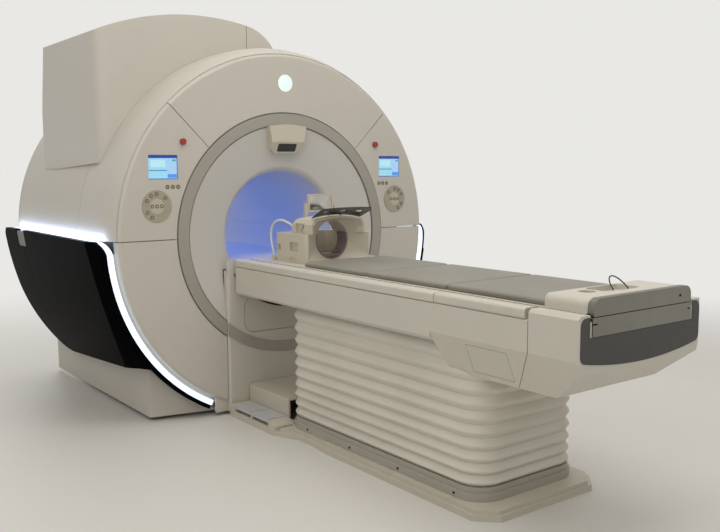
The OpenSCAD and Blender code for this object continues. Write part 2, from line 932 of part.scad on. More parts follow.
module rear_keepout() block(-plinth_half_width + 19, 0, gantry_length - rear_round - 1, big, 0, big);

// controls

module display_place() translate([display_x, 0, display_z]) children();

module displays() color("deepskyblue") both() display_place()
  block(-display_width / 2, display_width / 2, 0.5, 14, -display_height / 2, display_height / 2);

module key(x, z, r) translate([x, 0, z]) rotate([90, 0, 0]) cylinder(r = r, h = 4.5);

module keypad() translate([keypad_x, 0, keypad_z]) difference() {
  union() {
    rotate([90, 0, 0]) translate([0, 0, fit - 2]) cylinder(r = keypad_radius, h = 5 - fit);
    for (a = [152, 121, 92, 42, 210, 243]) key(-62 * cos(a), 62 * sin(a), 10);
    for (x = [-26, 0, 26]) key(x, 0, 9);
  }
  rotate([90, 0, 0]) translate([0, 0, 1.2]) difference() {
    cylinder(r = 43, h = 3);
    cylinder(r = 40, h = 3);
    for (x = [-26, 0, 26]) translate([x, 0, -1]) cylinder(r = 10, h = 6);
  }
}

module touch_key(x) translate([x, 0, display_z - 101]) difference() {
  rotate([90, 0, 0]) cylinder(r = 11, h = 1.5);
  rotate([90, 0, 0]) translate([0, 0, 0.6]) cylinder(r = 8, h = 2);
}

module keypads() color("lightgray") both() {
  keypad();
  for (x = [display_x - 79, display_x - 50, display_x - 20]) touch_key(x);
}

module emblem_light() color("white") translate([0, 0, emblem_z]) rotate([90, 0, 0]) difference() {
  translate([0, 0, -12]) cylinder(r = emblem_radius, h = 12.5);
  difference() {
    cylinder(r = emblem_radius - 8, h = 2);
    cylinder(r = emblem_radius - 12, h = 2);
  }
}

module sensor_outline(t) {
  z1 = bore_height + ring_inner;
  polygon([[-sensor_top + t, z1], [-sensor_bottom + t, sensor_z + 24], [-sensor_bottom + 24, sensor_z + t],
    [sensor_bottom - 24, sensor_z + t], [sensor_bottom - t, sensor_z + 24], [sensor_top - t, z1]]);
}

module mouth_cut() difference() {
  bore_bar(ring_inner, -1, 200);
  translate([0, -0.8, 0]) turned() {
    polygon([[0, -5], [ring_inner + 9, -5], [ring_inner + 9, 3], [ring_inner - ring_gap, 3],
      [bore_radius + lip_round - lip_round * sin(mouth_slope), lip_y - lip_round * cos(mouth_slope)],
      [0, lip_y]]);
  }
}

module sensor_housing() color("white") difference() {
  intersection() {
    along_y(-26, 60) sensor_outline(0);
    bore_bar(ring_inner - fit, -30, 100);
  }
  mouth_cut();
  along_x(-big, big) polygon([[-30, sensor_z - 1], [-30, sensor_z + 70], [8, sensor_z - 1]]);
  along_y(-30, 12) soft_rect(-60 - fit, 60 + fit, sensor_z + 10 - fit, sensor_z + 52 + fit, 7 + fit);
}

module sensor_lens() color("black") difference() {
  along_y(-18, 12 - fit) soft_rect(-60, 60, sensor_z + 10, sensor_z + 52, 7);
  along_x(-big, big) polygon([[-30, sensor_z - 1], [-30, sensor_z + 76], [14, sensor_z - 1]]);
}

// table base and lift

module base_outline() {
  y0 = -bellows_back - 90;
  polygon([[-base_half_width, y0 + 80], [-base_half_width + 80, y0], [base_half_width - 80, y0],
    [base_half_width, y0 + 80], [base_half_width, -860], [base_half_width - 24, -720],
    [base_half_width - 24, 60], [-base_half_width + 24, 60], [-base_half_width + 24, -20],
    [-base_flare, -20], [-base_flare, -470], [-base_flare + 62, -610],
    [-base_half_width + 16, -720], [-base_half_width, -860]]);
}

module base_plate() color("white") difference() {
  union() {
    along_z(0, base_height - 16) difference() {
      base_outline();
      translate([-big, floor_gap + 2]) square([2 * big, 100]);
    }
    along_z(base_height - 16, base_height) difference() {
      intersection() {
        base_outline();
        translate([12, 0]) base_outline();
        translate([-12, 12]) base_outline();
      }
      translate([-big, -20]) square([2 * big, 200]);
      translate([-base_flare, -500]) square([base_flare - step_half_width - 14, 500]);
    }
    pedal_box();
  }
  block(-step_half_width - 2, step_half_width + 2, -bellows_front - 20, 100, base_height - 16, 200);
  block(-dock_half_width - 20, dock_half_width + 20, -dock_proud - 2, 200, floor_gap - fit, 200);
}

// raised foot that holds the pedals
pedal_x = -base_flare + 4;
hinge_x = pedal_x + pedal_width - 8;
hinge_z = base_height + 12;

module pedal_place(i) translate([0, -pedal_front - i * (pedal_length + pedal_web), 0]) children();

module pedal_box() {
  y1 = -22;
  y0 = -pedal_front - 2 * pedal_length - pedal_web - 20;
  x1 = -step_half_width - 2;
  difference() {
    block(pedal_x, x1, y0 - 50, y1, base_height - 20, base_height + 26);
    for (i = [0, 1]) pedal_place(i) {
      block(pedal_x - 1, pedal_x + pedal_width + 3, -pedal_length - 3, 3, base_height - 8, 200);
      translate([hinge_x, -pedal_length - 8.5, hinge_z]) rotate([-90, 0, 0])
        cylinder(r = pedal_pin + 0.06, h = pedal_length + 17);
    }
    along_x(-big, 0) polygon([[y0 - 60, base_height], [y0 - 60, 200], [y0 + 10, 200], [y0 + 10, base_height + 26]]);
  }
}

module pedal(i) pedal_place(i) difference() {
  union() {
    block(pedal_x + 1, pedal_x + pedal_width, -pedal_length, 0, base_height + 16, base_height + 28);
    block(pedal_x + 1, pedal_x + 9, -pedal_length, 0, base_height + 10, base_height + 17);
    block(hinge_x - 6, hinge_x + 6, -pedal_length, 0, base_height + 12, base_height + 17);
    translate([hinge_x, -pedal_length - 8, hinge_z]) rotate([-90, 0, 0])
      cylinder(r = pedal_pin, h = pedal_length + 16);
  }
  for (k = [1:6]) block(pedal_x + 4 + 14 * k, pedal_x + 7 + 14 * k, -pedal_length + 10, -10,
    base_height + 26.5, base_height + 40);
}

module pedal_up() color("gray") pedal(0);
module pedal_down() color("gray") pedal(1);

module dock_step() color("white") difference() {
  union() {
    along_z(base_height - 16, step_height)
      soft_rect(-step_half_width, step_half_width, -bellows_front - 18, -dock_proud - 3, 14);
  }
  block(-step_half_width + 10, step_half_width - 10, -bellows_front - 8, -dock_proud - 13, 0, step_height - 10);
  block(-big, big, -bellows_front - 40, -bellows_front + 24, base_height + 14, big);
}

module clamp_plan(g) soft_rect(-bellows_half_width + g, bellows_half_width - g, -bellows_back + g,
  -bellows_front - g, bellows_corner - g);

module bellows_clamp() color("gray") difference() {
  union() {
    along_z(base_height, base_height + 34) clamp_plan(-4);
    along_z(base_height + 34, bellows_foot) clamp_plan(6);
  }
  along_z(0, 300) clamp_plan(26);
  block(-big, big, -bellows_front - 20, 0, 0, 200);
}

module clamp_screws() color("black") for (y = [-1700, -1350, -1000, -650]) both()
  translate([bellows_half_width + 4, y, base_height + 18]) rotate([0, 90, 0]) cylinder(r = 5, h = 3);

module column(half, y0, y1, z0, z1, wall) difference() {
  block(-half, half, y0, y1, z0, z1);
  block(-half + wall, half - wall, y0 + wall, y1 - wall, z0 - 1, z1 + 1);
}

module lift_base() color("gray") {
  y1 = -column_front;
  column(column_half_width, y1 - column_length, y1, column_foot, column_foot + column_height, column_wall);
  difference() {
    block(-column_half_width - 50, column_half_width + 50, y1 - column_length - 50, y1 + 50,
      column_foot, column_foot + 12);
    block(-column_half_width + column_wall, column_half_width - column_wall,
      y1 - column_length + column_wall, y1 - column_wall, 0, 200);
  }
}

module lift_mid() color("silver") {
  g = column_wall + slide_gap;
  y1 = -column_front;
  z0 = column_foot + column_height - column_overlap;
  column(column_half_width - g, y1 - column_length + g, y1 - g, z0, z0 + column_height + 20, column_wall);
}

module lift_top() color("silver") {
  g = 2 * (column_wall + slide_gap);
  y1 = -column_front;
  column(column_half_width - g, y1 - column_length + g, y1 - g, column_foot + column_height, bellows_top,
    column_wall);
  difference() {
    along_z(bellows_top, flange_height) clamp_plan(8);
    block(-60, 60, y1 - column_length + 100, y1 - 100, 0, big);
    along_x(-big, big) belly_side_view(fit);
  }
}

// bellows: folded skin with a round plan, each fold one pair of cones joined along straights

module fold_ring(inset, z0, z1) {
  x = bellows_half_width - bellows_corner;
  ya = -bellows_back + bellows_corner;
  yb = -bellows_front - bellows_corner;
  for (sx = [-x, x], y = [ya, yb]) translate([sx, y, z0]) cylinder(r = bellows_corner - inset, h = z1 - z0, $fn = 32);
}

// heights of the valleys and crests, closer together towards the floor
function fold_share(t) = bellows_foot + (bellows_top - bellows_foot) * (0.82 * t + 0.18 * t * t);
function valley_z(i) = fold_share(i / bellows_folds);
function crest_z(i) = valley_z(i) + fold_crest * (valley_z(i + 1) - valley_z(i));

module bellows() color("ivory") difference() {
  fold_stack();
  intersection() {
    along_x(-big, big) belly_side_view(1);
    along_y(-big, 0) belly_room(1.2);
  }
}

// front view of the room that the lower housing takes, in (x, z)
module belly_room(g) {
  x1 = table_half_width + g;
  polygon([[-x1, big], [-x1, belly_crease], [-x1 + belly_run, belly_height - g],
    [x1 - belly_run, belly_height - g], [x1, belly_crease], [x1, big]]);
}

// folds one on another, joined by short necks at the valleys from first to last
module fold_column(g, first, last) {
  for (i = [0:bellows_folds - 1]) hull() {
    fold_ring(g + fold_depth, valley_z(i), valley_z(i) + 0.2);
    fold_ring(g, crest_z(i) - 0.1, crest_z(i) + 0.1);
    fold_ring(g + fold_depth, valley_z(i + 1) - 0.2, valley_z(i + 1));
  }
  for (i = [first:last]) hull() fold_ring(g + fold_depth - 1, valley_z(i) - 3, valley_z(i) + 3);
}

module fold_stack() difference() {
  fold_column(0, 1, bellows_folds - 1);
  fold_column(bellows_skin, 0, bellows_folds);
}

// table top

module side_outline() {
  x1 = table_half_width;
  polygon([[rail_inner, flange_height], [x1 - 14, flange_height], [x1, flange_height + 14],
    [x1, rail_seam - 2], [x1 - 6, rail_seam], [rail_inner, rail_seam]]);
}

module belly_outline() {
  x1 = table_half_width;
  polygon([[-x1, belly_crease], [-x1 + belly_run, belly_height], [x1 - belly_run, belly_height],
    [x1, belly_crease]]);
}

// what is cut off beside the sloping sides, in (x, z)
module slope_waste() {
  x1 = table_half_width;
  polygon([[x1, belly_crease], [x1 + 40, belly_crease], [x1 + 40, 2 * belly_height - belly_crease],
    [x1 - 2 * belly_run, 2 * belly_height - belly_crease]]);
}

// side view of the lower housing grown by g, in (y, z)
module belly_side_view(g) polygon([
  [-belly_front + g, flange_height + 14], [-belly_front + g, flange_height - 6],
  [-belly_front - 10 + g, flange_height - 30], [-belly_front - 60 + g, belly_height - g],
  [-big, belly_height - g], [-big, flange_height + 14]
]);

module table_frame() color("white") difference() {
  y0 = -seam_y + cover_seam;
  y1 = -table_head;
  union() {
    difference() {
      union() {
        both() along_y(y0, y1) side_outline();
        block(-rail_inner - 1, rail_inner + 1, y0, y1, rail_seam - 14, rail_seam);
        block(-rail_inner + 0.5, rail_inner - 0.5, y0, y1, rail_seam - 1, deck_height);
        block(-rail_inner - 1, rail_inner + 1, y0, y1, flange_height, flange_height + 12);
        block(-rail_inner - 1, rail_inner + 1, y1 - 14, y1, flange_height + 6, rail_seam - 6);
        both() block(table_half_width - table_wall - 16, table_half_width - table_wall - fit,
          y0 - 30, y0 + 20, belly_crease + 4, rail_seam - 14);
        intersection() {
          block(-table_half_width + 0.5, table_half_width - 0.5, y0, -belly_front + 1,
            belly_height, flange_height + 12);
          along_x(-big, big) belly_side_view(0);
        }
      }
      intersection() {
        both() along_y(-big, 0) slope_waste();
        along_x(-big, big) polygon([[-belly_front + 8, belly_crease + 1], [-belly_front - 24, belly_height - 60],
          [-big, belly_height - 60], [-big, belly_crease + 1]]);
      }
      along_x(-big, big) polygon([[y0, belly_crease], [y0 + seam_slant, belly_height],
        [y0 + seam_slant, belly_height - 20], [y0 - 20, belly_height - 20], [y0 - 20, belly_crease]]);
      belly_hollow();
      door_box(0);
    }
  }
  door_pin(0.06);
}

module belly_hollow() intersection() {
  along_y(-seam_y - 1, -belly_front - 140) polygon([
    [-table_half_width + 38, flange_height - 14], [-table_half_width + belly_run + 12, belly_height + table_wall],
    [table_half_width - belly_run - 12, belly_height + table_wall], [table_half_width - 38, flange_height - 14]]);
  block(-big, big, -big, -bellows_back - 12, 0, flange_height - 12);
}

// door pin, along the slope of the housing's side
door_span = seam_y - seam_slant - belly_front - 62;
door_front = belly_front + 62 + door_span * 0.355;
door_back = seam_y - seam_slant - door_span / 25;

slope = atan(belly_run / (belly_crease - belly_height));
pin_y = -door_back + 5.4;

// frame of the door: middle of the sloping side, with z up the slope
module door_place() translate([-table_half_width + belly_run / 2, 0, (belly_crease + belly_height) / 2])
  rotate([0, -slope, 0]) children();

module door_pin(g) door_place()
  translate([3.4, pin_y, door_low - 5 - g]) cylinder(r = 2 + g, h = door_high - door_low + 10 + 2 * g, $fn = 24);

// upright edges of the door, measured up the slope
door_low = -62;
door_high = 62;

module door_box(g) door_place()
  block(-18, 18, -door_back + g, -door_front - g, door_low + g, door_high - g);

// small door in the lower housing, hinged at its foot-end edge
module side_door() color("white") {
  g = 2;
  door_pin(0);
  difference() {
    intersection() {
      along_y(-door_back + g, -door_front - g) belly_outline();
      door_box(g);
    }
    translate([table_wall, 0, 0]) along_y(-door_back - 1, -door_front + 1) belly_outline();
  }
}

module rail_outline() {
  x1 = table_half_width;
  difference() {
    union() {
      translate([rail_inner, rail_seam]) square([x1 - rail_inner - 10, 4]);
      translate([rail_inner, rail_seam + 3]) square([x1 - rail_inner, rail_top - rail_seam - 15]);
      translate([rail_inner, rail_seam + 3]) square([x1 - rail_inner - 12, rail_top - rail_seam - 3]);
      translate([x1 - 12, rail_top - 12]) circle(r = 12);
    }
  }
}

module table_rails() color("white") difference() {
  both() {
    difference() {
      along_y(-seam_y + cover_seam, -table_head) rail_outline();
      block(0, big, -1626, -1622, rail_seam, big);
      block(0, big, -seam_y - 10, -seam_y + 18, rail_seam, big);
      block(table_half_width - 2, big, -1622, -seam_y + 10, rail_seam - 10, rail_seam + 9);
    }
  }
}

// side view of the foot housing, in (y, z)
module foot_side_view(t) polygon([[-seam_y, belly_crease], [-seam_y + seam_slant, belly_height + t],
  [-table_foot + 140, belly_height + t], [-table_foot + t, plate_low - 8], [-table_foot + t, rail_top - t],
  [-seam_y + (t > 0 ? seam_slant : 0), rail_top - t], [-seam_y + (t > 0 ? seam_slant : 0), belly_crease]]);

module foot_front_view(t) {
  x1 = table_half_width - t;
  polygon([[-x1, belly_crease], [-x1 + belly_run, belly_height + t], [x1 - belly_run, belly_height + t],
    [x1, belly_crease], [x1, rail_top - 12], [x1 - 12, rail_top - t],
    [-x1 + 12, rail_top - t], [-x1, rail_top - 12]]);
}

module foot_solid(t) intersection() {
  along_y(-table_foot, -seam_y + seam_slant + t) foot_front_view(t);
  along_x(-big, big) foot_side_view(t);
  along_z(0, big) soft_rect(-table_half_width + t, table_half_width - t, -table_foot + t, 0, 12);
}

module foot_housing() color("white") difference() {
  foot_solid(0);
  foot_solid(table_wall);
  block(-rail_inner, rail_inner, -table_foot - 1, -seam_y + 1, deck_height, big);
  foot_recess(fit);
  block(-cradle_half_width + 3, cradle_half_width - 3, -table_foot - 1, -table_foot + end_plate + fit,
    deck_height - 52 - fit, big);
}

// dark end plate with a bowed lower edge, in (x, z)
plate_low = belly_crease - 35;
plate_bow = 1800;
plate_round = 26;
module plate_outline(g) {
  x1 = table_half_width - 10 - plate_round;
  c = [0, plate_low + plate_bow];
  z0 = c[1] - sqrt(pow(plate_bow - plate_round, 2) - x1 * x1);
  z1 = rail_top - 8 - plate_round;
  b = asin(x1 / (plate_bow - plate_round));
  difference() {
    polygon(concat(arc(c, plate_bow + g, -90 - b * 0.9, -90 + b * 0.9, 16),
      arc([x1, z0], plate_round + g, -90 + b, 0, 5), arc([x1, z1], plate_round + g, 0, 90, 5),
      arc([-x1, z1], plate_round + g, 90, 180, 5), arc([-x1, z0], plate_round + g, 180, 270 - b, 5)));
    translate([-cradle_half_width - 8 + g, deck_height - 54 + g]) square([2 * cradle_half_width + 16 - 2 * g, 200]);
  }
}

module foot_recess(g) along_y(-table_foot - 1, -table_foot + 6) plate_outline(g);

module foot_plate() color("dimgray") along_y(-table_foot - 2, -table_foot + 6) plate_outline(0);

// lower metal strip, part of the table
module end_strip() color("silver") difference() {
  along_y(-table_foot - 4, -table_foot + end_plate)
    soft_rect(-cradle_half_width + 4, cradle_half_width - 4, deck_height - 52, deck_height + end_seam - 1, 3);
  both() block(cradle_half_width - 28, big, -table_foot - 20, -table_foot + 20, deck_height - 12, deck_height - 7);
}

// cradle with pads and foot block

module cradle() color("white") {
  difference() {
    along_y(-table_foot + 24, -table_head - 6) polygon([
      [-cradle_half_width, cradle_top], [-cradle_half_width, deck_height + slide_gap + 10],
      [-cradle_half_width + 10, deck_height + slide_gap],
      [cradle_half_width - 10, deck_height + slide_gap], [cradle_half_width, deck_height + slide_gap + 10],
      [cradle_half_width, cradle_top], [pad_half_width + 4, cradle_top], [pad_half_width - 4, cradle_bed],
      [-pad_half_width + 4, cradle_bed], [-pad_half_width - 4, cradle_top]]);
    along_z(0, big) difference() {
      translate([-big, -table_head - 66]) square([2 * big, 200]);
      translate([0, -table_head - 66]) difference() {
        soft_rect(-cradle_half_width, cradle_half_width, -200, 60, 60);
      }
    }
  }
}

pad_back = block_front - 4;
pad_length = floor((pad_back - pad_head - 2 * pad_gap) / 3);

module pads() color("gray") for (i = [0:2]) {
  y1 = -pad_head - i * (pad_length + pad_gap);
  along_z(cradle_bed, cradle_bed + pad_thick)
    soft_rect(-pad_half_width + 7, pad_half_width - 7, y1 - pad_length, y1, i == 0 ? 40 : 12);
}

module cradle_block() color("white") difference() {
  intersection() {
    along_y(-table_foot + end_plate + 11 + fit / 2, -block_front) union() {
      soft_rect(-cradle_half_width + 8, cradle_half_width - 8, cradle_top - 40, cradle_top + block_rise, 26);
    }
    block(-big, big, -big, big, cradle_top, big);
  }
  along_z(cradle_top + block_rise - 20, big) soft_rect(-90, 110, -block_front - 120, -block_front - 12, 24);
  along_z(cradle_top + block_rise - 30, big) soft_rect(-170, -110, -block_front - 100, -block_front - 40, 24);
}

// metal plate at the cradle's foot end, with rounded upper corners
module cradle_end() color("silver") difference() {
  along_y(-table_foot - 4, -table_foot + end_plate + 11) intersection() {
    soft_rect(-cradle_half_width + 8, cradle_half_width - 8, deck_height - 60, cradle_top + block_rise + 3, 34);
    translate([-big, deck_height + end_seam + 2]) square([2 * big, big]);
  }
  block(-cradle_half_width + 30, cradle_half_width - 30, -table_foot + 6, -table_foot + 40,
    cradle_top + 1, cradle_top + block_rise - 14);
  block(-big, big, -table_foot + end_plate, -table_foot + 60, 0, cradle_top + 0.5);
  translate([cradle_half_width - 78, -table_foot - 20, cradle_top + 18]) rotate([-90, 0, 0])
    cylinder(r = 6, h = 40);
}

// dark strap loop standing in the block's recess
loop_points = [for (i = [0:14]) let(a = 180 * i / 14)
  [74 - 72 * sin(a), -block_front - 60 + 38 * cos(a) - 10 * sin(a), cradle_top + block_rise - 17.7 + 62 * sin(a)]];

module pull_loop() color("black") tube_along(loop_points, 2.4, 8);

// round tube through hand-picked points, one polyhedron
function unit(v) = v / norm(v);
function tube_dir(p, i) = unit(p[min(i + 1, len(p) - 1)] - p[max(i - 1, 0)]);

module tube_along(p, r, n) {
  up = [0.31, 0.23, 0.92];
  rings = [for (i = [0:len(p) - 1]) let(d = tube_dir(p, i), u = unit(cross(d, up)), v = cross(d, u))
    for (k = [0:n - 1]) p[i] + r * (u * cos(360 * k / n) + v * sin(360 * k / n))];
  m = len(p);
  polyhedron(points = rings, faces = concat(
    [[for (k = [0:n - 1]) n - 1 - k]],
    [for (i = [0:m - 2]) for (k = [0:n - 1])
      [i * n + k, i * n + (k + 1) % n, (i + 1) * n + (k + 1) % n, (i + 1) * n + k]],
    [[for (k = [0:n - 1]) (m - 1) * n + k]]));
}

// head coil

coil_back = coil_front - coil_length;
coil_rear = coil_back - coil_box_length;
coil_x = coil_half_width;
crown_x = coil_x - 37;
seam_z = coil_z + coil_seam;
coil_top_z = coil_z + coil_height;

// cross-section of the upper shell with a low crown, in (x, z)
module crown_outline(t) {
  x1 = crown_x - t;
  z1 = coil_top_z - t;
  intersection() {
    polygon([[-x1, seam_z - 60], [x1, seam_z - 60], [x1, z1 - 42], [x1 - 22, z1 - 12], [x1 - 40, z1 + 10],
      [-x1 + 40, z1 + 10], [-x1 + 22, z1 - 12], [-x1, z1 - 42]]);
    translate([0, z1 - 660]) circle(r = 660, $fn = 240);
  }
}

// round way through the coil, from the front
module coil_hollow(r) translate([0, -coil_front - 1, coil_z + coil_axis]) rotate([-90, 0, 0])
  cylinder(r = r, h = coil_length + 40);

module throat_ring() translate([0, -coil_front + coil_flare, coil_z + coil_axis]) rotate([-90, 0, 0])
  cylinder(r = coil_inner, h = 1, $fn = 48);

// funnel from the face in to the throat
module base_funnel() hull() {
  along_y(-coil_front - 2, -coil_front + 1.5)
    soft_rect(-coil_x + 14, coil_x - 14, coil_z + 10, seam_z + 60, 24);
  throat_ring();
}

module top_funnel() hull() {
  along_y(-coil_front - 2, -coil_front + 4) crown_outline(coil_wall);
  throat_ring();
}

module coil_base() color("white") difference() {
  union() {
    along_z(coil_z, seam_z - fit / 2) soft_rect(-coil_x, coil_x, -coil_front, -coil_rear, 20);
    block(-coil_x - 17, -coil_x + 1, -coil_rear - 5, -coil_rear + 14, coil_z, coil_z + 27);
    block(-coil_x + 1, -coil_x + 30, -coil_rear - 5, -coil_rear + 14, coil_z, coil_z + 20);
  }
  coil_hollow(coil_inner + 3);
  base_funnel();
  along_z(coil_z + 30, big) soft_rect(-110, 110, -coil_back - 40, -coil_back + 60, 30);
  block(-coil_x - 1, -coil_x + 16, -coil_front + 76, -coil_front + 158, coil_z + 62, coil_z + 107);
  block(-coil_x - 1, -coil_x + 12, -coil_rear - 59, -coil_rear - 27, coil_z + 60, coil_z + 90);
  block(-coil_x - 1, -coil_x + 4, -coil_front + 95, -coil_front + 155, coil_z + 14, coil_z + 26);
}

module coil_liner() color("maroon") intersection() {
  difference() {
    coil_hollow(coil_inner + 3 - fit);
    difference() {
      translate([0, -1, 0]) coil_hollow(coil_inner - 6);
      for (k = [0, 1]) block(-big, big, -coil_front + coil_flare + 8 + 22 * k, -coil_front + coil_flare + 20 + 22 * k,
        coil_z + 28 + 20 * k, coil_z + 38 + 18 * k);
    }
  }
  block(-big, big, -coil_front + coil_flare + 1.5, -coil_back - 42, 0, seam_z - 2);
}

// side view of the upper shell with a round back, in (y, z)
module crown_side() {
  r = coil_height - coil_seam - 10;
  translate([-coil_front + 4, seam_z + fit / 2]) square([coil_length - 4 - r, big]);
  intersection() {
    translate([-coil_back - r, seam_z + 14]) circle(r = r);
    translate([-coil_front + 4, seam_z + fit / 2]) square([big, big]);
  }
}

module coil_top() color("white") difference() {
  union() {
    intersection() {
      along_y(-coil_front, 0) crown_outline(0);
      along_x(-big, big) crown_side();
    }
    both() {
      block(84, 97, mirror_y - 10, mirror_y + 10, seam_z + 41, mirror_z + 12);
      block(35, 43, pivot_y - 5, pivot_y + 5, coil_top_z - 12, pivot_z);
      translate([35, pivot_y, pivot_z]) rotate([0, 90, 0]) cylinder(r = 7, h = 8);
    }
    translate([-152, -coil_back - 12, coil_z + 184]) rotate([-90, 0, 0]) cylinder(r = 9, h = 12);
  }
  coil_hollow(coil_inner + 2);
  top_funnel();
  translate([-50, pivot_y, pivot_z]) rotate([0, 90, 0]) cylinder(r = 3.06, h = 100);
  translate([-99, mirror_y, mirror_z]) rotate([0, 90, 0]) cylinder(r = 4.06, h = 198);
  both() {
    block(crown_x - 14, big, -coil_front + 73, -coil_front + 155, seam_z + 6, seam_z + 53);
    translate([crown_x - 24, -coil_front + 118, seam_z + 8]) rotate([40, 0, 0]) cube([20, 9, 44]);
  }
}

mirror_y = -coil_back - 20;
mirror_z = coil_top_z + 52;

module mirror_frame() color("white") translate([0, mirror_y, mirror_z]) difference() {
  union() {
    block(-80, 80, -6, 6, -36, 58);
    rotate([0, 90, 0]) translate([0, 0, -83.4]) cylinder(r = 7, h = 166.8);
    rotate([0, 90, 0]) translate([0, 0, -94]) cylinder(r = 4, h = 188);
  }
  block(-70, 70, -8, 2, -26, 48);
}

module mirror_glass() color("silver") translate([0, mirror_y, mirror_z])
  block(-69.5, 69.5, -3, 1.5, -25.5, 47.5);

// dark visor with three windows, on a pin between two ears of the shell
visor_y = -coil_front + 25;
visor_z = coil_top_z + 5;
pivot_y = visor_y + 13;
pivot_z = visor_z + 9;

// visor from its curved back edge to its nearly straight front edge
module visor_form(g, low) hull() {
  along_y(visor_y - 4 + g, visor_y + g) intersection() {
    translate([0, visor_z + 7 - 2 * g - 660]) circle(r = 660, $fn = 240);
    translate([-154 - g, visor_z - 30 - low]) square([308 + 2 * g, 100]);
  }
  along_y(visor_y - visor_reach - g, visor_y - visor_reach + 4 - g) intersection() {
    translate([0, visor_z + 7 - 2 * g + visor_rise - 3000]) circle(r = 3000, $fn = 500);
    translate([-162 - g, visor_z + visor_rise - 20 - low]) square([324 + 2 * g, 100]);
  }
}

module coil_visor() color("black") {
  difference() {
    visor_form(0, 0);
    visor_form(3.5, 60);
    for (x = [-104, 0, 104]) along_z(0, big) translate([x, visor_y - 58]) soft_rect(-25, 25, -19, 19, 7);
    along_z(0, big) both() translate([162, visor_y - visor_reach]) rotate(45) square(24, center = true);
  }
  block(-34, 34, visor_y - 3.6, pivot_y, pivot_z - 5, pivot_z + 3);
  translate([-34, pivot_y, pivot_z]) rotate([0, 90, 0]) cylinder(r = 5.5, h = 68);
  translate([-42, pivot_y, pivot_z]) rotate([0, 90, 0]) cylinder(r = 3, h = 84);
}

// lead of the coil, from its gland up and over to the upper shell
cable_points = [
  [-214, -coil_rear + 4, 886.3], [-214, -coil_rear + 4, 897], [-215, -197, 916], [-216, -190, 940],
  [-216, -184, 964], [-216, -180, 988], [-215, -180, 1012], [-213, -184, 1034], [-209, -194, 1052],
  [-204, -208, 1065], [-198, -225, 1072], [-191, -243, 1074], [-183, -260, 1071], [-175, -276, 1064],
  [-166, -290, 1054], [-156, -301, 1045], [-152, -304, 1043], [-152, -coil_back + 0.4, 1043]
];

module coil_cable() color("white") tube_along(cable_points, 6, 10);

// buttons

module stop_button() {
  rotate([90, 0, 0]) {
    translate([0, 0, -8]) cylinder(r = stop_radius, h = 22);
    translate([0, 0, -16]) cylinder(r = stop_radius - 6, h = 9);
  }
}

module stop_left() color("red") translate([-stop_x, 0, stop_z]) stop_button();
module stop_right() color("red") translate([stop_x, 0, stop_z]) stop_button();
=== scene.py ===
import bpy, bmesh, math, json
from mathutils import Vector, Matrix
from mathutils.noise import noise as wave


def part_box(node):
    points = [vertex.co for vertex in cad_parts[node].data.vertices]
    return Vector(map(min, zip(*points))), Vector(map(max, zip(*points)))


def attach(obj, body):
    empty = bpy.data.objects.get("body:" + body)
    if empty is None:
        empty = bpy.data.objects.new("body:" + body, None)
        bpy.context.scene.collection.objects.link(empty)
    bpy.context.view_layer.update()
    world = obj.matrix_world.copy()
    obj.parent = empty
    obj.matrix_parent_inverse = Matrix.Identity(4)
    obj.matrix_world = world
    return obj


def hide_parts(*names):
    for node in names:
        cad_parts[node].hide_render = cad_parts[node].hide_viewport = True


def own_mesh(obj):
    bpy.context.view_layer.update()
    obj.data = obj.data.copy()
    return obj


# Walk-up magnetic resonance scanner. Metres, +Z up, +Y into the bore, origin on the floor below the
# bore's axis in the plane of the front face
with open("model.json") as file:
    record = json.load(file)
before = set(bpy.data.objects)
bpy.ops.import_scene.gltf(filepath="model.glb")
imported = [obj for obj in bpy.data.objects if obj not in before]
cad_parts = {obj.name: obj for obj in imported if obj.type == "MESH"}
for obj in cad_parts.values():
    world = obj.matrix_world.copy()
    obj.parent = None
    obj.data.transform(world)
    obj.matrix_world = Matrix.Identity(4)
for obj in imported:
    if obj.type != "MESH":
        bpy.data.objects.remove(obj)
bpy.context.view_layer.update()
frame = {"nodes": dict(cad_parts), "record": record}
nodes = frame["nodes"]
scene = bpy.context.scene
BORE_Z = 0.98

# Camera

# solved from the photograph: the lens in pixels of its width, the place and the three turns
FOCAL_PX, PHOTO_WIDE, SENSOR = 860.98, 720, 36.0
CAMERA_AT = (-2.59606, -4.11471, 1.34973)
YAW, PITCH, ROLL = math.radians(37.071), math.radians(6.550), math.radians(-0.246)
fwd = Vector((math.sin(YAW) * math.cos(PITCH), math.cos(YAW) * math.cos(PITCH), -math.sin(PITCH)))
right0 = Vector((math.cos(YAW), -math.sin(YAW), 0))
up0 = right0.cross(fwd)
right = right0 * math.cos(ROLL) + up0 * math.sin(ROLL)
up = -right0 * math.sin(ROLL) + up0 * math.cos(ROLL)
cam_data = bpy.data.cameras.new("photo_camera")
cam_data.sensor_fit = "HORIZONTAL"
cam_data.sensor_width = SENSOR
cam_data.lens = FOCAL_PX / PHOTO_WIDE * SENSOR
cam_data.clip_end = 100
cam = bpy.data.objects.new("photo_camera", cam_data)
scene.collection.objects.link(cam)
rot = Matrix((right, up, -fwd)).transposed().to_4x4()
cam.matrix_world = Matrix.Translation(CAMERA_AT) @ rot
scene.camera = cam

# Mesh helpers


def lin(code):
    """sRGB hex to a linear colour."""
    out = []
    for i in (0, 2, 4):
        c = int(code[i:i + 2], 16) / 255
        out.append(c / 12.92 if c <= 0.04045 else ((c + 0.055) / 1.055) ** 2.4)
    return (*out, 1.0)


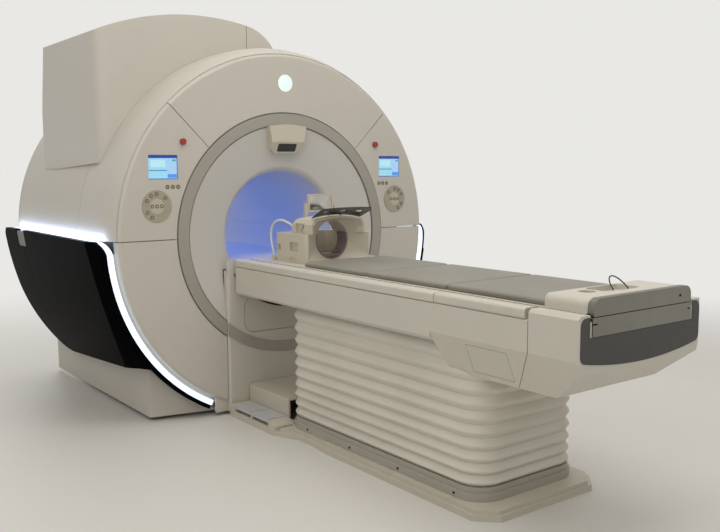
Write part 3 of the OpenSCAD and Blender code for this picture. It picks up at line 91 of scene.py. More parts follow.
def new_object(name, mesh, body, mat=None, slot=None, smooth=40):
    """An object that rides on a body. Edges sharper than smooth degrees stay sharp."""
    obj = bpy.data.objects.new(name, mesh)
    scene.collection.objects.link(obj)
    if mat:
        mesh.materials.append(mat)
    if smooth:
        mesh.polygons.foreach_set("use_smooth", [True] * len(mesh.polygons))
        mesh.set_sharp_from_angle(angle=math.radians(smooth))
    if body:
        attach(obj, body)
    return obj


def from_data(name, verts, faces, outward=False, **kw):
    """An object from points and faces. outward turns every face to look out of the closed form."""
    mesh = bpy.data.meshes.new(name)
    mesh.from_pydata([tuple(v) for v in verts], [], faces)
    mesh.validate()
    mesh.update()
    if outward:
        bm = bmesh.new()
        bm.from_mesh(mesh)
        bmesh.ops.recalc_face_normals(bm, faces=bm.faces)
        bm.to_mesh(mesh)
        bm.free()
    return new_object(name, mesh, **kw)


def loft(rings, caps=True):
    """Faces between closed rings of equally many points."""
    n = len(rings[0])
    verts = [v for r in rings for v in r]
    faces = []
    for i in range(len(rings) - 1):
        for k in range(n):
            a, b = i * n + k, i * n + (k + 1) % n
            faces.append((a, b, b + n, a + n))
    if caps:
        faces.append(tuple(reversed(range(n))))
        faces.append(tuple((len(rings) - 1) * n + k for k in range(n)))
    return verts, faces


def round_rect(hx, hy, r, n=8):
    """Points of a rectangle with round corners about the origin."""
    pts = []
    corners = ((hx - r, hy - r, 0), (-hx + r, hy - r, 90), (-hx + r, -hy + r, 180), (hx - r, -hy + r, 270))
    for cx, cy, a0 in corners:
        for i in range(n + 1):
            a = math.radians(a0 + 90 * i / n)
            pts.append((cx + r * math.cos(a), cy + r * math.sin(a)))
    return pts


# Material helpers


def add(tree, kind, values=None, links=None, **settings):
    """Adds one shader node with its settings, socket values and incoming links."""
    n = tree.nodes.new(kind)
    for k, v in settings.items():
        setattr(n, k, v)
    for k, v in (values or {}).items():
        n.inputs[k].default_value = v
    for k, v in (links or {}).items():
        tree.links.new(v, n.inputs[k])
    return n


def base(name):
    """A new material with its node tree, its shader and the object's own coordinates."""
    m = bpy.data.materials.new(name)
    m.use_nodes = True
    t = m.node_tree
    bsdf = t.nodes["Principled BSDF"]
    pos = add(t, "ShaderNodeTexCoord").outputs["Object"]
    return m, t, bsdf, pos


def ramp(t, fac, stops):
    """Colours between stops of position and colour."""
    r = add(t, "ShaderNodeValToRGB", links={"Fac": fac})
    el = r.color_ramp.elements
    el[0].position, el[0].color = stops[0]
    el[1].position, el[1].color = stops[-1]
    for p, c in stops[1:-1]:
        e = el.new(p)
        e.color = c
    return r.outputs["Color"]


def noise(t, pos, size, detail=3.0, rough=0.5):
    """Noise whose features are about size metres across."""
    return add(t, "ShaderNodeTexNoise", values={"Scale": 0.5 / size, "Detail": detail, "Roughness": rough},
               links={"Vector": pos}).outputs["Fac"]


def span(t, fac, a, b, lo=0.3, hi=0.7):
    """Spreads a noise value from its usual lo..hi over a..b."""
    return add(t, "ShaderNodeMapRange", values={"From Min": lo, "From Max": hi, "To Min": a, "To Max": b},
               links={"Value": fac}).outputs["Result"]


def bump(t, height, depth, strength=1.0, normal=None):
    """Relief depth metres deep, laid over another relief where one is given."""
    links = {"Height": height}
    if normal:
        links["Normal"] = normal
    node = add(t, "ShaderNodeBump", values={"Strength": strength, "Distance": depth}, links=links)
    return node.outputs["Normal"]


def scaled(t, colour, factor):
    """A colour made lighter or darker by a factor, a number or another node's value."""
    n = add(t, "ShaderNodeVectorMath", operation="SCALE", links={0: colour})
    if isinstance(factor, float):
        n.inputs["Scale"].default_value = factor
    else:
        t.links.new(factor, n.inputs["Scale"])
    return n.outputs[0]


def put(t, bsdf, socket, out):
    """Joins a value to a socket of the shader."""
    t.links.new(out, bsdf.inputs[socket])


def moulded(name, code, rough, dark, coat=0.0, grain=0.0008, depth=0.00002, spec=0.5, wiped=1.0):
    """Moulded or sprayed cover: slow tint drift, fine grain in the paint, uneven sheen from wiping."""
    m, t, b, pos = base(name)
    c = lin(code)
    d = tuple(x * dark for x in c[:3]) + (1.0,)
    big = noise(t, pos, 0.35, 4)
    mid = noise(t, pos, 0.03, 5, 0.6)
    tone = ramp(t, big, [(0.30, d), (0.72, c)])
    put(t, b, "Base Color", scaled(t, tone, span(t, mid, 1 - 0.03 * wiped, 1.0)))
    put(t, b, "Roughness", span(t, mid, rough - 0.04 * wiped, rough + 0.06 * wiped))
    put(t, b, "Normal", bump(t, noise(t, pos, grain, 2), depth))
    b.inputs["Specular IOR Level"].default_value = spec
    b.inputs["Coat Weight"].default_value = coat
    b.inputs["Coat Roughness"].default_value = 0.12
    return m


def metal(name, code, rough, brush=(1, 1, 1), depth=0.00001):
    """Metal face: fine drawn lines along one way, slow tarnish, lines also in the roughness."""
    m, t, b, pos = base(name)
    c = lin(code)
    squeezed = add(t, "ShaderNodeMapping", values={"Scale": brush}, links={"Vector": pos}).outputs["Vector"]
    lines = noise(t, squeezed, 0.0015, 4, 0.7)
    slow = noise(t, pos, 0.12, 3)
    tone = ramp(t, slow, [(0.3, tuple(x * 0.85 for x in c[:3]) + (1,)), (0.7, c)])
    put(t, b, "Base Color", scaled(t, tone, span(t, lines, 0.88, 1.04)))
    put(t, b, "Roughness", span(t, lines, rough - 0.06, rough + 0.1))
    put(t, b, "Normal", bump(t, lines, depth))
    b.inputs["Metallic"].default_value = 1.0
    return m


# Materials

MATS = {}
# sprayed glass-fibre cover, satin polyurethane: warm off-white, faint orange peel
MATS["shell_white"] = moulded("sprayed_glassfibre_cover", "CFCAC0", 0.46, 0.96, grain=0.0016, wiped=0.6)
# smooth injection-moulded liner: a little brighter and glossier than the covers
MATS["bore_white"] = moulded("smooth_moulded_liner", "D2CFC9", 0.40, 0.97, coat=0.05, grain=0.004,
                             depth=0.00001, wiped=0.3)
# silver-grey sprayed ring with fine metallic flake
MATS["ring_silver"] = moulded("silver_sprayed_ring", "A8A49A", 0.36, 0.94, coat=0.1, grain=0.0006,
                              depth=0.00001)
# black gelcoat of the pods: deep black, faint ripples, a sheen only where it is seen at a flat angle.
# It is held low, because the pale surroundings here are far brighter than a scan room's walls
MATS["pod_black"] = moulded("black_gelcoat_pod", "08080A", 0.34, 0.85, grain=0.05, depth=0.00001,
                            spec=0.005, wiped=0.3)
# grained grey tab
MATS["latch_grey"] = moulded("grey_moulded_latch", "6F6D68", 0.45, 0.9)
# glossy black window of the sensor
MATS["lens_black"] = moulded("black_lens", "0C0C10", 0.08, 0.9, coat=0.5)
# powder-coated base: coarser grain than the covers, scuffed a little
MATS["base_white"] = moulded("powder_coated_base", "CFC9BA", 0.5, 0.9, grain=0.0012, depth=0.00005)
# the same spray as the covers, a little paler
MATS["table_white"] = moulded("sprayed_table_cover", "D2CDC1", 0.46, 0.95, grain=0.0016, wiped=0.6)
# strip that clamps the bellows, its screws and the lift's columns
MATS["clamp_grey"] = moulded("anodised_clamp_strip", "B0ACA0", 0.42, 0.92)
MATS["screw_dark"] = metal("blackened_screw", "2B2A28", 0.4)
MATS["column_metal"] = metal("extruded_column", "B9B9B8", 0.34, (1, 1, 0.03))
# foot of the table: dark textured plate under a brushed strip that has gone dull
MATS["plate_anthracite"] = moulded("anthracite_textured_plate", "444340", 0.55, 0.92, grain=0.0007,
                                   depth=0.00006)
MATS["plate_metal"] = metal("brushed_end_plate", "86837A", 0.42, (0.03, 1, 1))
# head coil, its lead and the pull loop
MATS["strap_black"] = moulded("black_wire_sheath", "121212", 0.45, 0.9)
MATS["coil_shell"] = moulded("satin_coil_shell", "D3CBB9", 0.38, 0.95, coat=0.1, grain=0.0012)
MATS["coil_lining"] = moulded("dark_plum_lining", "978083", 0.5, 0.8)
MATS["cable_sheath"] = moulded("white_cable_sheath", "D9DAD8", 0.45, 0.95)
MATS["visor_dark"] = moulded("dark_tinted_visor", "2E2A25", 0.3, 0.9, coat=0.3)
# what hands and feet press
MATS["stop_red"] = moulded("red_push_button", "A32A22", 0.32, 0.9, coat=0.3)
MATS["pedal_grey"] = moulded("ribbed_pedal_rubber", "C8C8CB", 0.55, 0.9, depth=0.00008)
# inside the covers
MATS["vessel_steel"] = metal("welded_stainless_vessel", "BFC0C1", 0.35, (1, 0.05, 1))
MATS["foot_steel"] = moulded("painted_steel_foot", "565A60", 0.5, 0.85)
MATS["coil_epoxy"] = moulded("cast_epoxy_coil", "9B6A3C", 0.4, 0.8, coat=0.2)
MATS["body_coil_tube"] = moulded("laminate_tube", "BDB79A", 0.45, 0.9)
MATS["cold_metal"] = metal("machined_aluminium", "C9C9C8", 0.3)


PEBBLES, PEBBLE_EDGE = 900.0, 0.12


def pad_vinyl():
    """Coated fabric over foam: fine pebbled grain, duller where hands and sheets rub it."""
    m, t, b, pos = base("coated_pad_fabric")
    cells = add(t, "ShaderNodeTexVoronoi", values={"Scale": PEBBLES}, links={"Vector": pos},
                feature="DISTANCE_TO_EDGE").outputs["Distance"]
    edges = add(t, "ShaderNodeMath", operation="MINIMUM", values={1: PEBBLE_EDGE},
                links={0: cells}).outputs[0]
    rub = noise(t, pos, 0.12, 5, 0.6)
    put(t, b, "Base Color", ramp(t, rub, [(0.3, lin("827F75")), (0.7, lin("928F84"))]))
    put(t, b, "Roughness", span(t, rub, 0.5, 0.62))
    put(t, b, "Normal", bump(t, edges, 0.0002, 0.5, bump(t, noise(t, pos, 0.02, 4), 0.0006, 0.4)))
    return m


def bellows_skin():
    """Cream coated cloth: woven ground just showing, and painted shade that greys the valleys of the folds.
    """
    m, t, b, pos = base("cream_bellows_cloth")
    big = noise(t, pos, 0.2, 4)
    tone = ramp(t, big, [(0.3, lin("D2CDC1")), (0.72, lin("DDD8CC"))])
    cavity = add(t, "ShaderNodeNewGeometry").outputs["Pointiness"]
    # painted shade: the cloth's colour is darkened where the folds are most hollow, standing in for the shade
    # in their valleys
    valley_shade = span(t, cavity, 0.86, 1.0, 0.44, 0.5)
    put(t, b, "Base Color", scaled(t, tone, valley_shade))
    put(t, b, "Roughness", span(t, noise(t, pos, 0.03, 4), 0.5, 0.62))
    weave = add(t, "ShaderNodeTexWave", values={"Scale": 420.0, "Distortion": 0.4}, links={"Vector": pos},
                bands_direction="DIAGONAL").outputs["Fac"]
    put(t, b, "Normal", bump(t, weave, 0.00006, 0.6, bump(t, noise(t, pos, 0.05, 4), 0.003, 0.5)))
    return m


def glow(name, code, tint, strength):
    """Frosted light: milky body colour that drifts a little, and an even glow."""
    m, t, b, pos = base(name)
    put(t, b, "Base Color", ramp(t, noise(t, pos, 0.05, 3), [(0.3, lin(code)), (0.7, lin("EFF2F5"))]))
    b.inputs["Roughness"].default_value = 0.45
    b.inputs["Emission Color"].default_value = lin(tint)
    b.inputs["Emission Strength"].default_value = strength
    return m


def inside(t, val, lo, hi):
    """1 where val lies between lo and hi."""
    a = add(t, "ShaderNodeMath", operation="GREATER_THAN", values={1: lo}, links={0: val}).outputs[0]
    c = add(t, "ShaderNodeMath", operation="LESS_THAN", values={1: hi}, links={0: val}).outputs[0]
    return add(t, "ShaderNodeMath", operation="MULTIPLY", links={0: a, 1: c}).outputs[0]


def layer(t, col, mask, code):
    """Puts one plain colour over col where mask is 1."""
    mix = add(t, "ShaderNodeMix", data_type="RGBA", links={0: mask, 6: col})
    mix.inputs[7].default_value = lin(code)
    return mix.outputs[2]


# screens: distance of their middle from the bore's axis, width, height of the lower edge, height
SCREEN_X, SCREEN_W, SCREEN_Z, SCREEN_H = 0.738, 0.159, 1.2925, 0.123
# fields of the screen: left, right, bottom and top as shares of its face, and their colour
FIELDS = (
    ((0.63, 0.99, 0.03, 0.88), "A9D4F8"), ((0.07, 0.57, 0.50, 0.80), "BDEBFA"),
    ((-0.1, 0.63, 0.345, 0.385), "3A8CB4"), ((0.65, 0.96, 0.06, 0.21), "4E97F2"),
    ((-0.1, 1.1, -0.1, 0.035), "3F74CC"), ((0.97, 1.1, -0.1, 1.1), "4A62BC"),
    ((-0.1, 1.1, 0.87, 1.1), "2C3D9A"), ((0.82, 0.94, 0.74, 0.82), "3FA3A6"))


def display_face():
    """Lit screen behind a matt film: pale cyan fields, a dark blue bar on top, plain blocks of colour."""
    m, t, b, pos = base("lit_display_face")
    x = add(t, "ShaderNodeSeparateXYZ", links={"Vector": pos})
    # the right screen is moved onto the left one, so that both show the same
    on_right = add(t, "ShaderNodeMath", operation="GREATER_THAN", values={1: 0.0},
                   links={0: x.outputs["X"]}).outputs[0]
    shift = add(t, "ShaderNodeMath", operation="MULTIPLY_ADD", values={1: -2 * SCREEN_X},
                links={0: on_right, 2: x.outputs["X"]}).outputs[0]
    u = span(t, shift, 0.0, 1.0, -SCREEN_X - SCREEN_W / 2, -SCREEN_X + SCREEN_W / 2)
    v = span(t, x.outputs["Z"], 0.0, 1.0, SCREEN_Z, SCREEN_Z + SCREEN_H)
    col = ramp(t, v, [(0.0, lin("A2DFF8")), (1.0, lin("98DBF9"))])
    for (u0, u1, v0, v1), code in FIELDS:
        f = add(t, "ShaderNodeMath", operation="MULTIPLY", links={0: inside(t, u, u0, u1),
                1: inside(t, v, v0, v1)}).outputs[0]
        col = layer(t, col, f, code)
    put(t, b, "Base Color", scaled(t, col, 0.3))
    put(t, b, "Emission Color", col)
    b.inputs["Emission Strength"].default_value = 0.72
    put(t, b, "Roughness", span(t, noise(t, pos, 0.02, 4), 0.22, 0.34))
    return m


# keypads: middle, radius of the ring of keys, the keys' angles on it and the three keys in the middle
KEYPAD_AT, KEY_RING, KEY_ANGLES = (0.778, 1.156), 0.062, (152, 121, 92, 42, 210, 243)
KEYS = [(-KEY_RING * math.cos(math.radians(a)), KEY_RING * math.sin(math.radians(a)))
        for a in KEY_ANGLES] + [(-0.026, 0), (0, 0), (0.026, 0)]
# radius of the pale middle, inner and outer radius of a key's printed ring
PALE_MIDDLE, KEY_INNER, KEY_OUTER = 0.0405, 0.0045, 0.0104
# the three touch keys beside the screen and the radii of their ring
TOUCH, TOUCH_INNER, TOUCH_OUTER = [(0.659, 1.253), (0.688, 1.253), (0.718, 1.253)], 0.0060, 0.0115


def touch_pad():
    """Membrane keypad: greyer ring with a pale middle, each key a dark printed ring on the film."""
    m, t, b, pos = base("membrane_keypad")
    x = add(t, "ShaderNodeSeparateXYZ", links={"Vector": pos})
    ax = add(t, "ShaderNodeMath", operation="ABSOLUTE", links={0: x.outputs["X"]}).outputs[0]
    flat = add(t, "ShaderNodeCombineXYZ", links={"X": ax, "Z": x.outputs["Z"]}).outputs[0]

    def far(px, pz):
        """Distance from a point of the front face, the same for both sides."""
        n = add(t, "ShaderNodeVectorMath", operation="DISTANCE", links={0: flat})
        n.inputs[1].default_value = (px, 0, pz)
        return n.outputs["Value"]

    def nearest(points):
        """Distance from the nearest of some points."""
        d = far(*points[0])
        for q in points[1:]:
            d = add(t, "ShaderNodeMath", operation="MINIMUM", links={0: d, 1: far(*q)}).outputs[0]
        return d

    col = ramp(t, noise(t, pos, 0.03, 4), [(0.3, lin("A9A18F")), (0.7, lin("B1A997"))])
    col = layer(t, col, inside(t, far(*KEYPAD_AT), -1, PALE_MIDDLE), "C4BDAC")
    keys = nearest([(KEYPAD_AT[0] + kx, KEYPAD_AT[1] + kz) for kx, kz in KEYS])
    col = layer(t, col, inside(t, keys, KEY_INNER, KEY_OUTER), "756C5F")
    touch = nearest(TOUCH)
    col = layer(t, col, inside(t, touch, -1, TOUCH_OUTER), "6E665A")
    col = layer(t, col, inside(t, touch, -1, TOUCH_INNER), "A29A8A")
    put(t, b, "Base Color", col)
    put(t, b, "Roughness", span(t, noise(t, pos, 0.01, 4), 0.45, 0.58))
    put(t, b, "Normal", bump(t, noise(t, pos, 0.0006, 2), 0.00002))
    return m


def mirror_face():
    """Front-silvered glass with faint smears."""
    m, t, b, pos = base("silvered_mirror")
    b.inputs["Metallic"].default_value = 1.0
    put(t, b, "Base Color", ramp(t, noise(t, pos, 0.02, 4), [(0.3, lin("A9A79F")), (0.7, lin("C2BFB6"))]))
    put(t, b, "Roughness", span(t, noise(t, pos, 0.015, 5), 0.04, 0.14))
    return m


MATS["pad_cover"] = pad_vinyl()
MATS["bellows_skin"] = bellows_skin()
MATS["strip_light"] = glow("frosted_strip_light", "E3EAF2", "CFE0FA", 1.15)
MATS["emblem_face"] = glow("lit_round_disc", "D8E6E2", "D2F0EA", 0.42)
MATS["keypad_grey"] = touch_pad()
MATS["display_face"] = display_face()
MATS["mirror_face"] = mirror_face()

slot_of = {s["node"]: s["material_slot"] for s in frame["record"]["subparts"]}
for name, obj in nodes.items():
    mat = MATS[slot_of[name]]
    for s in obj.material_slots:
        s.material = mat

# Cords

# the same points as in the CAD
CRADLE_TOP, BLOCK_RISE = 0.862, 0.048
LOOP_X, LOOP_Y, LOOP_Z = 0.074, -2.125 - 0.060, CRADLE_TOP + BLOCK_RISE - 0.0177
# half width of the pull loop at its feet, how far it leans over in x and y, and its height
LOOP_HALF, LOOP_LEAN_X, LOOP_LEAN_Y, LOOP_RISE = 0.038, 0.072, 0.010, 0.062
LOOP_THICK, LEAD_THICK = 0.0048, 0.012


def loop_point(angle):
    """Point of the pull loop, 0 at one foot and 180 at the other."""
    c, q = math.cos(math.radians(angle)), math.sin(math.radians(angle))
    return LOOP_X - LOOP_LEAN_X * q, LOOP_Y + LOOP_HALF * c - LOOP_LEAN_Y * q, LOOP_Z + LOOP_RISE * q


LOOP_PARTS = 14
loop = [loop_point(180 * i / LOOP_PARTS) for i in range(LOOP_PARTS + 1)]
cable = [(x / 1000, y / 1000, z / 1000) for x, y, z in (
    (-214, -201, 886.3), (-214, -201, 897), (-215, -197, 916), (-216, -190, 940), (-216, -184, 964),
    (-216, -180, 988), (-215, -180, 1012), (-213, -184, 1034), (-209, -194, 1052), (-204, -208, 1065),
    (-198, -225, 1072), (-191, -243, 1074), (-183, -260, 1071), (-175, -276, 1064), (-166, -290, 1054),
    (-156, -301, 1045), (-152, -304, 1043), (-152, -309.6, 1043))]


def cord_curve(name, pts, diameter, body, slot, node):
    """A round cord through points, in place of a CAD node."""
    cu = bpy.data.curves.new(name, "CURVE")
    cu.dimensions = "3D"
    sp = cu.splines.new("POLY")
    sp.points.add(len(pts) - 1)
    for p, q in zip(sp.points, pts):
        p.co = (*q, 1)
    cu.bevel_depth = diameter / 2
    cu.bevel_resolution = 4
    cu.use_fill_caps = True
    cu.materials.append(MATS[slot])
    o = bpy.data.objects.new(name, cu)
    scene.collection.objects.link(o)
    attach(o, body)
    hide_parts(node)


def refine(pts, steps):
    """Catmull-Rom points through pts, steps to each piece."""
    out = []
    p = [Vector(q) for q in pts]
    for i in range(len(p) - 1):
        before, here, there, after = p[max(i - 1, 0)], p[i], p[i + 1], p[min(i + 2, len(p) - 1)]
        for k in range(steps):
            s = k / steps
            out.append(0.5 * (2 * here + (there - before) * s
                              + (2 * before - 5 * here + 4 * there - after) * s * s
                              + (3 * here - before - 3 * there + after) * s ** 3))
    out.append(p[-1])
    return [tuple(v) for v in out]


cord_curve("wire_pull_loop", refine(loop, 3), LOOP_THICK, "cradle_body", "strap_black", "pull_loop")
cord_curve("coil_lead", refine(cable, 3), LEAD_THICK, "cradle_body", "cable_sheath", "coil_cable")

# Bellows

lo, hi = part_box("bellows")
# folds, rings a fold, share of a fold's height below its crest, travel of the table
FOLDS, FOLD_STEPS, CREST, TRAVEL = 10, 14, 0.4, 0.25
# outline: half width, back, front and corner radius, then depth of a fold and thickness of the skin
HX, YB, YF, CORNER, DEPTH, SKIN = 0.304, -1.835, -0.450, 0.120, 0.018, 0.0025
# share of a straight pleat in the fold's section, the rest is round
PLEAT = 0.72
# sideways wander and sag of the crests, how far the skin keeps inside the outline and below the top
WANDER, SAG, INSIDE, BELOW = 0.0012, 0.0025, 0.0008, 0.0005
# side view of the lower housing that cuts into the skin, (y, z)
HOUSING = ((-1.606, 0.661), (-1.616, 0.637), (-1.666, 0.546), (-2.2, 0.546))
# its sloping side in (x, z): height of the crease, of the underside, and half widths there
CREASE, UNDER, HALF_TOP, HALF_LOW = 0.703, 0.546, 0.3552, 0.2892


def fold_height(t):
    """Height of a valley at share t of the folds: the folds lie closer together towards the floor."""
    return lo[2] + (hi[2] - lo[2]) * (0.82 * t + 0.18 * t * t)


def split(bm, at, normal):
    """Cuts the faces along a plane without taking any away."""
    bmesh.ops.bisect_plane(bm, geom=bm.verts[:] + bm.edges[:] + bm.faces[:], plane_co=at, plane_no=normal)


def in_housing(x, y, z):
    """Whether a point of the skin lies inside the lower housing."""
    if abs(x) > HALF_LOW + (z - UNDER) * (HALF_TOP - HALF_LOW) / (CREASE - UNDER):
        return False
    for (ya, za), (yb, zb) in zip(HOUSING, HOUSING[1:]):
        if ya >= y > yb:
            return z > za + (y - ya) / (yb - ya) * (zb - za)
    return False


def bellows():
    """Folded skin: each fold has a short underside, a crisp crest and a long upper side."""
    rings = []
    cy, hy = (YB + YF) / 2, (YF - YB) / 2
    for i in range(FOLDS * FOLD_STEPS + 1):
        f, ph = divmod(i, FOLD_STEPS)
        ph /= FOLD_STEPS
        if i == FOLDS * FOLD_STEPS:
            f, ph = FOLDS - 1, 1.0
        out = ph / CREST if ph < CREST else (1 - ph) / (1 - CREST)
        prof = PLEAT * out + (1 - PLEAT) * math.sin(out * math.pi / 2)
        z = fold_height(f / FOLDS) + ph * (fold_height((f + 1) / FOLDS) - fold_height(f / FOLDS))
        inset = DEPTH * (1 - prof) + INSIDE
        ring = []
        for x, y in round_rect(HX - inset, hy - inset, CORNER - inset, 14):
            k = 1 + WANDER / HX * math.sin(7.3 * (y + 0.4 * x) + 1.9 * f) * prof
            sag = SAG * math.sin(3.1 * y + 0.7 * f) * prof
            ring.append((x * k, cy + y, min(z + sag, hi[2] - BELOW)))
        rings.append(ring)
    v, f = loft(rings, caps=False)
    mesh = bpy.data.meshes.new("folded_bellows")
    mesh.from_pydata(v, [], f)
    bm = bmesh.new()
    bm.from_mesh(mesh)
    for (ya, za), (yb, zb) in zip(HOUSING, HOUSING[1:]):
        d = Vector((0, yb - ya, zb - za)).normalized()
        split(bm, (0, ya, za), (0, d.z, -d.y))
    run = Vector((HALF_TOP - HALF_LOW, 0, CREASE - UNDER)).normalized()
    for side in (-1, 1):
        split(bm, (side * HALF_LOW, 0, UNDER), (side * run.z, 0, -run.x))
    gone = [fc for fc in bm.faces if in_housing(*fc.calc_center_median())]
    bmesh.ops.delete(bm, geom=gone, context="FACES")
    bm.to_mesh(mesh)
    bm.free()
    o = new_object("folded_bellows", mesh, "gantry", MATS["bellows_skin"], "bellows_skin", smooth=80)
    sol = o.modifiers.new("skin", "SOLIDIFY")
    sol.thickness = SKIN
    sol.offset = -1
    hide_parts("bellows")
    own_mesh(o)


bellows()

# Strip lights

# arc on the front, round corner, then the straight run on top of the pod: radius of the arc, its depth,
# its lower end in degrees, radius of the corner, height, distance and back end of the straight run
ARC_R, ARC_Y, ARC_END, TURN, RUN_Z, RUN_X, RUN_BACK = 1.023, 0.037, 62, 0.066, 0.9695, 1.0482, 1.535
ARC_STEPS, TURN_STEPS, RUN_STEPS = 40, 12, 24
# half width of the strip on the arc, what it loses on the run, its half depth and the rounding of its edges
STRIP_HALF, STRIP_LOSS, STRIP_DEEP, STRIP_ROUND = 0.0148, 0.0040, 0.0135, 0.005
# half width, half depth and rounding of the lip, how far its middle lies outside the strip and behind it
LIP_HALF, LIP_DEEP, LIP_ROUND, LIP_OUT, LIP_BACK = 0.0088, 0.0110, 0.0055, 0.0092, 0.0020
# corner of the lower cover: inner and outer end, lower edge, radius of the front disc less its clearance
CORNER_IN, CORNER_OUT, CORNER_LOW, DISC_R = 0.3930, 0.4670, 0.0215, 0.988
# middle of the corner, towards which its front is drawn in, and by how much
CORNER_X, CORNER_Z, CORNER_EASE = 0.4270, 0.055, 0.97
# depth of the drawn-in front, then of the outline's rings behind it
EASED_Y, RINGS_Y = 0.0100, (0.0105, 0.0150, 0.0195)


def side_name(side):
    """Name of a side, -1 or 1."""
    return "right" if side > 0 else "left"


def strip_path():
    """Points of a left strip and the turn of its lit face, from the floor end to the back end."""
    out = []
    top = math.degrees(math.asin((BORE_Z - RUN_Z + TURN) / ARC_R))
    for i in range(ARC_STEPS + 1):
        a = math.radians(ARC_END + (top - ARC_END) * i / ARC_STEPS)
        out.append((-ARC_R * math.cos(a), ARC_Y, BORE_Z - ARC_R * math.sin(a), 0.0))
    x0, z0 = out[-1][0], out[-1][2]
    for i in range(1, TURN_STEPS + 1):
        b = math.pi / 2 * i / TURN_STEPS
        share = i / TURN_STEPS
        share = share * share * (3 - 2 * share)
        out.append((x0 + (-RUN_X - x0) * share, ARC_Y + TURN * (1 - math.cos(b)),
                    z0 + TURN * math.sin(b), b))
    y0 = out[-1][1]
    for i in range(1, RUN_STEPS + 1):
        out.append((-RUN_X, y0 + (RUN_BACK - y0) * i / RUN_STEPS, RUN_Z, math.pi / 2))
    return out


def along_strip(side, path, section):
    """Rings along a strip's path. section gives a ring's points outwards and forwards from the path."""
    rings = []
    for i, (x, y, z, turn) in enumerate(path):
        share = min(1.0, max(0.0, (i - ARC_STEPS) / TURN_STEPS))
        look = Vector((0, -math.cos(turn), math.sin(turn)))
        before, after = Vector(path[max(i - 1, 0)][:3]), Vector(path[min(i + 1, len(path) - 1)][:3])
        out = look.cross((after - before).normalized()).normalized()
        ring = []
        for u, w in section(STRIP_HALF - STRIP_LOSS * share):
            q = Vector((x, y, z)) + out * u + look * w
            ring.append((-side * q.x, q.y, q.z))
        rings.append(ring)
    return loft(rings)


def strip_light(side):
    """Frosted bead in the gap beside the pod: flat lit face with soft edges."""
    v, f = along_strip(side, strip_path(), lambda wide: round_rect(wide, STRIP_DEEP, STRIP_ROUND, 4))
    o = from_data("strip_light_" + side_name(side), v, f, outward=True, body="gantry",
                  mat=MATS["strip_light"], slot="strip_light", smooth=40)
    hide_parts("pod_lights")


def pod_lip(side):
    """Rounded black edge of the pod beside the strip, from the floor end to the end of the corner."""
    v, f = along_strip(side, strip_path()[:ARC_STEPS + TURN_STEPS + 2], lambda wide: [
        (wide + LIP_OUT + u, w - LIP_BACK) for u, w in round_rect(LIP_HALF, LIP_DEEP, LIP_ROUND, 4)])
    from_data("pod_lip_" + side_name(side), v, f, outward=True, body="gantry", mat=MATS["pod_black"],
              slot="pod_black", smooth=40)


def cover_foot(side):
    """Low corner of the lower front cover between the end of the strip and the docking cover."""
    outline = []
    for i in range(13):
        x = CORNER_IN + (CORNER_OUT - CORNER_IN) * i / 12
        outline.append((x, BORE_Z - math.sqrt(DISC_R ** 2 - x * x)))
    outline += [(CORNER_OUT + 0.0030, 0.0300), (CORNER_OUT - 0.0030, CORNER_LOW), (CORNER_IN, CORNER_LOW)]
    # the front is drawn in a little, which eases its edge
    rings = [[(side * (CORNER_X + (x - CORNER_X) * CORNER_EASE), EASED_Y,
               CORNER_Z + (z - CORNER_Z) * CORNER_EASE) for x, z in outline]]
    rings += [[(side * x, y, z) for x, z in outline] for y in RINGS_Y]
    v, f = loft(rings)
    from_data("cover_foot_" + side_name(side), v, f, outward=True, body="gantry", mat=MATS["shell_white"],
              slot="shell_white", smooth=30)


for side in (-1, 1):
    strip_light(side)
    pod_lip(side)
    cover_foot(side)

# Pads

plo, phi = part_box("pads")
PAD_X = phi[0]
PAD_ENDS = [(-0.545, -1.067), (-1.071, -1.593), (-1.597, -2.119)]
# corner radius of the pad at the head and of the others
HEAD_CORNER, PLAIN_CORNER = 0.038, 0.012
# gaps beside and between the pads, and below them and under the top of their box
GAP_SIDE, GAP_END, GAP_SEAT = 0.001, 0.0008, 0.0003
# how far the long sides pull in, shares of the height for the rim and the crown
PULL, RIM, CROWN = 0.0035, 0.96, 0.055
# height of the crown's fine waves, depth of the slow dents, how far down from the top they reach
WAVES, DENT, DENT_REACH = 0.0007, 0.0012, 0.004
# sizes of the rings that close the crown
CROWN_RINGS = (0.97, 0.93, 0.86, 0.76, 0.62, 0.45, 0.25, 0.08)
# share of the height and inset of the rim, with the sewn seam as a shallow groove
PAD_RIM = ((0.0, 0.006), (0.16, 0.0018), (0.40, 0.0), (0.50, 0.0), (0.535, 0.0016), (0.57, 0.0),
           (0.66, 0.0004), (0.80, 0.0024), (0.93, 0.0064), (0.985, 0.012))


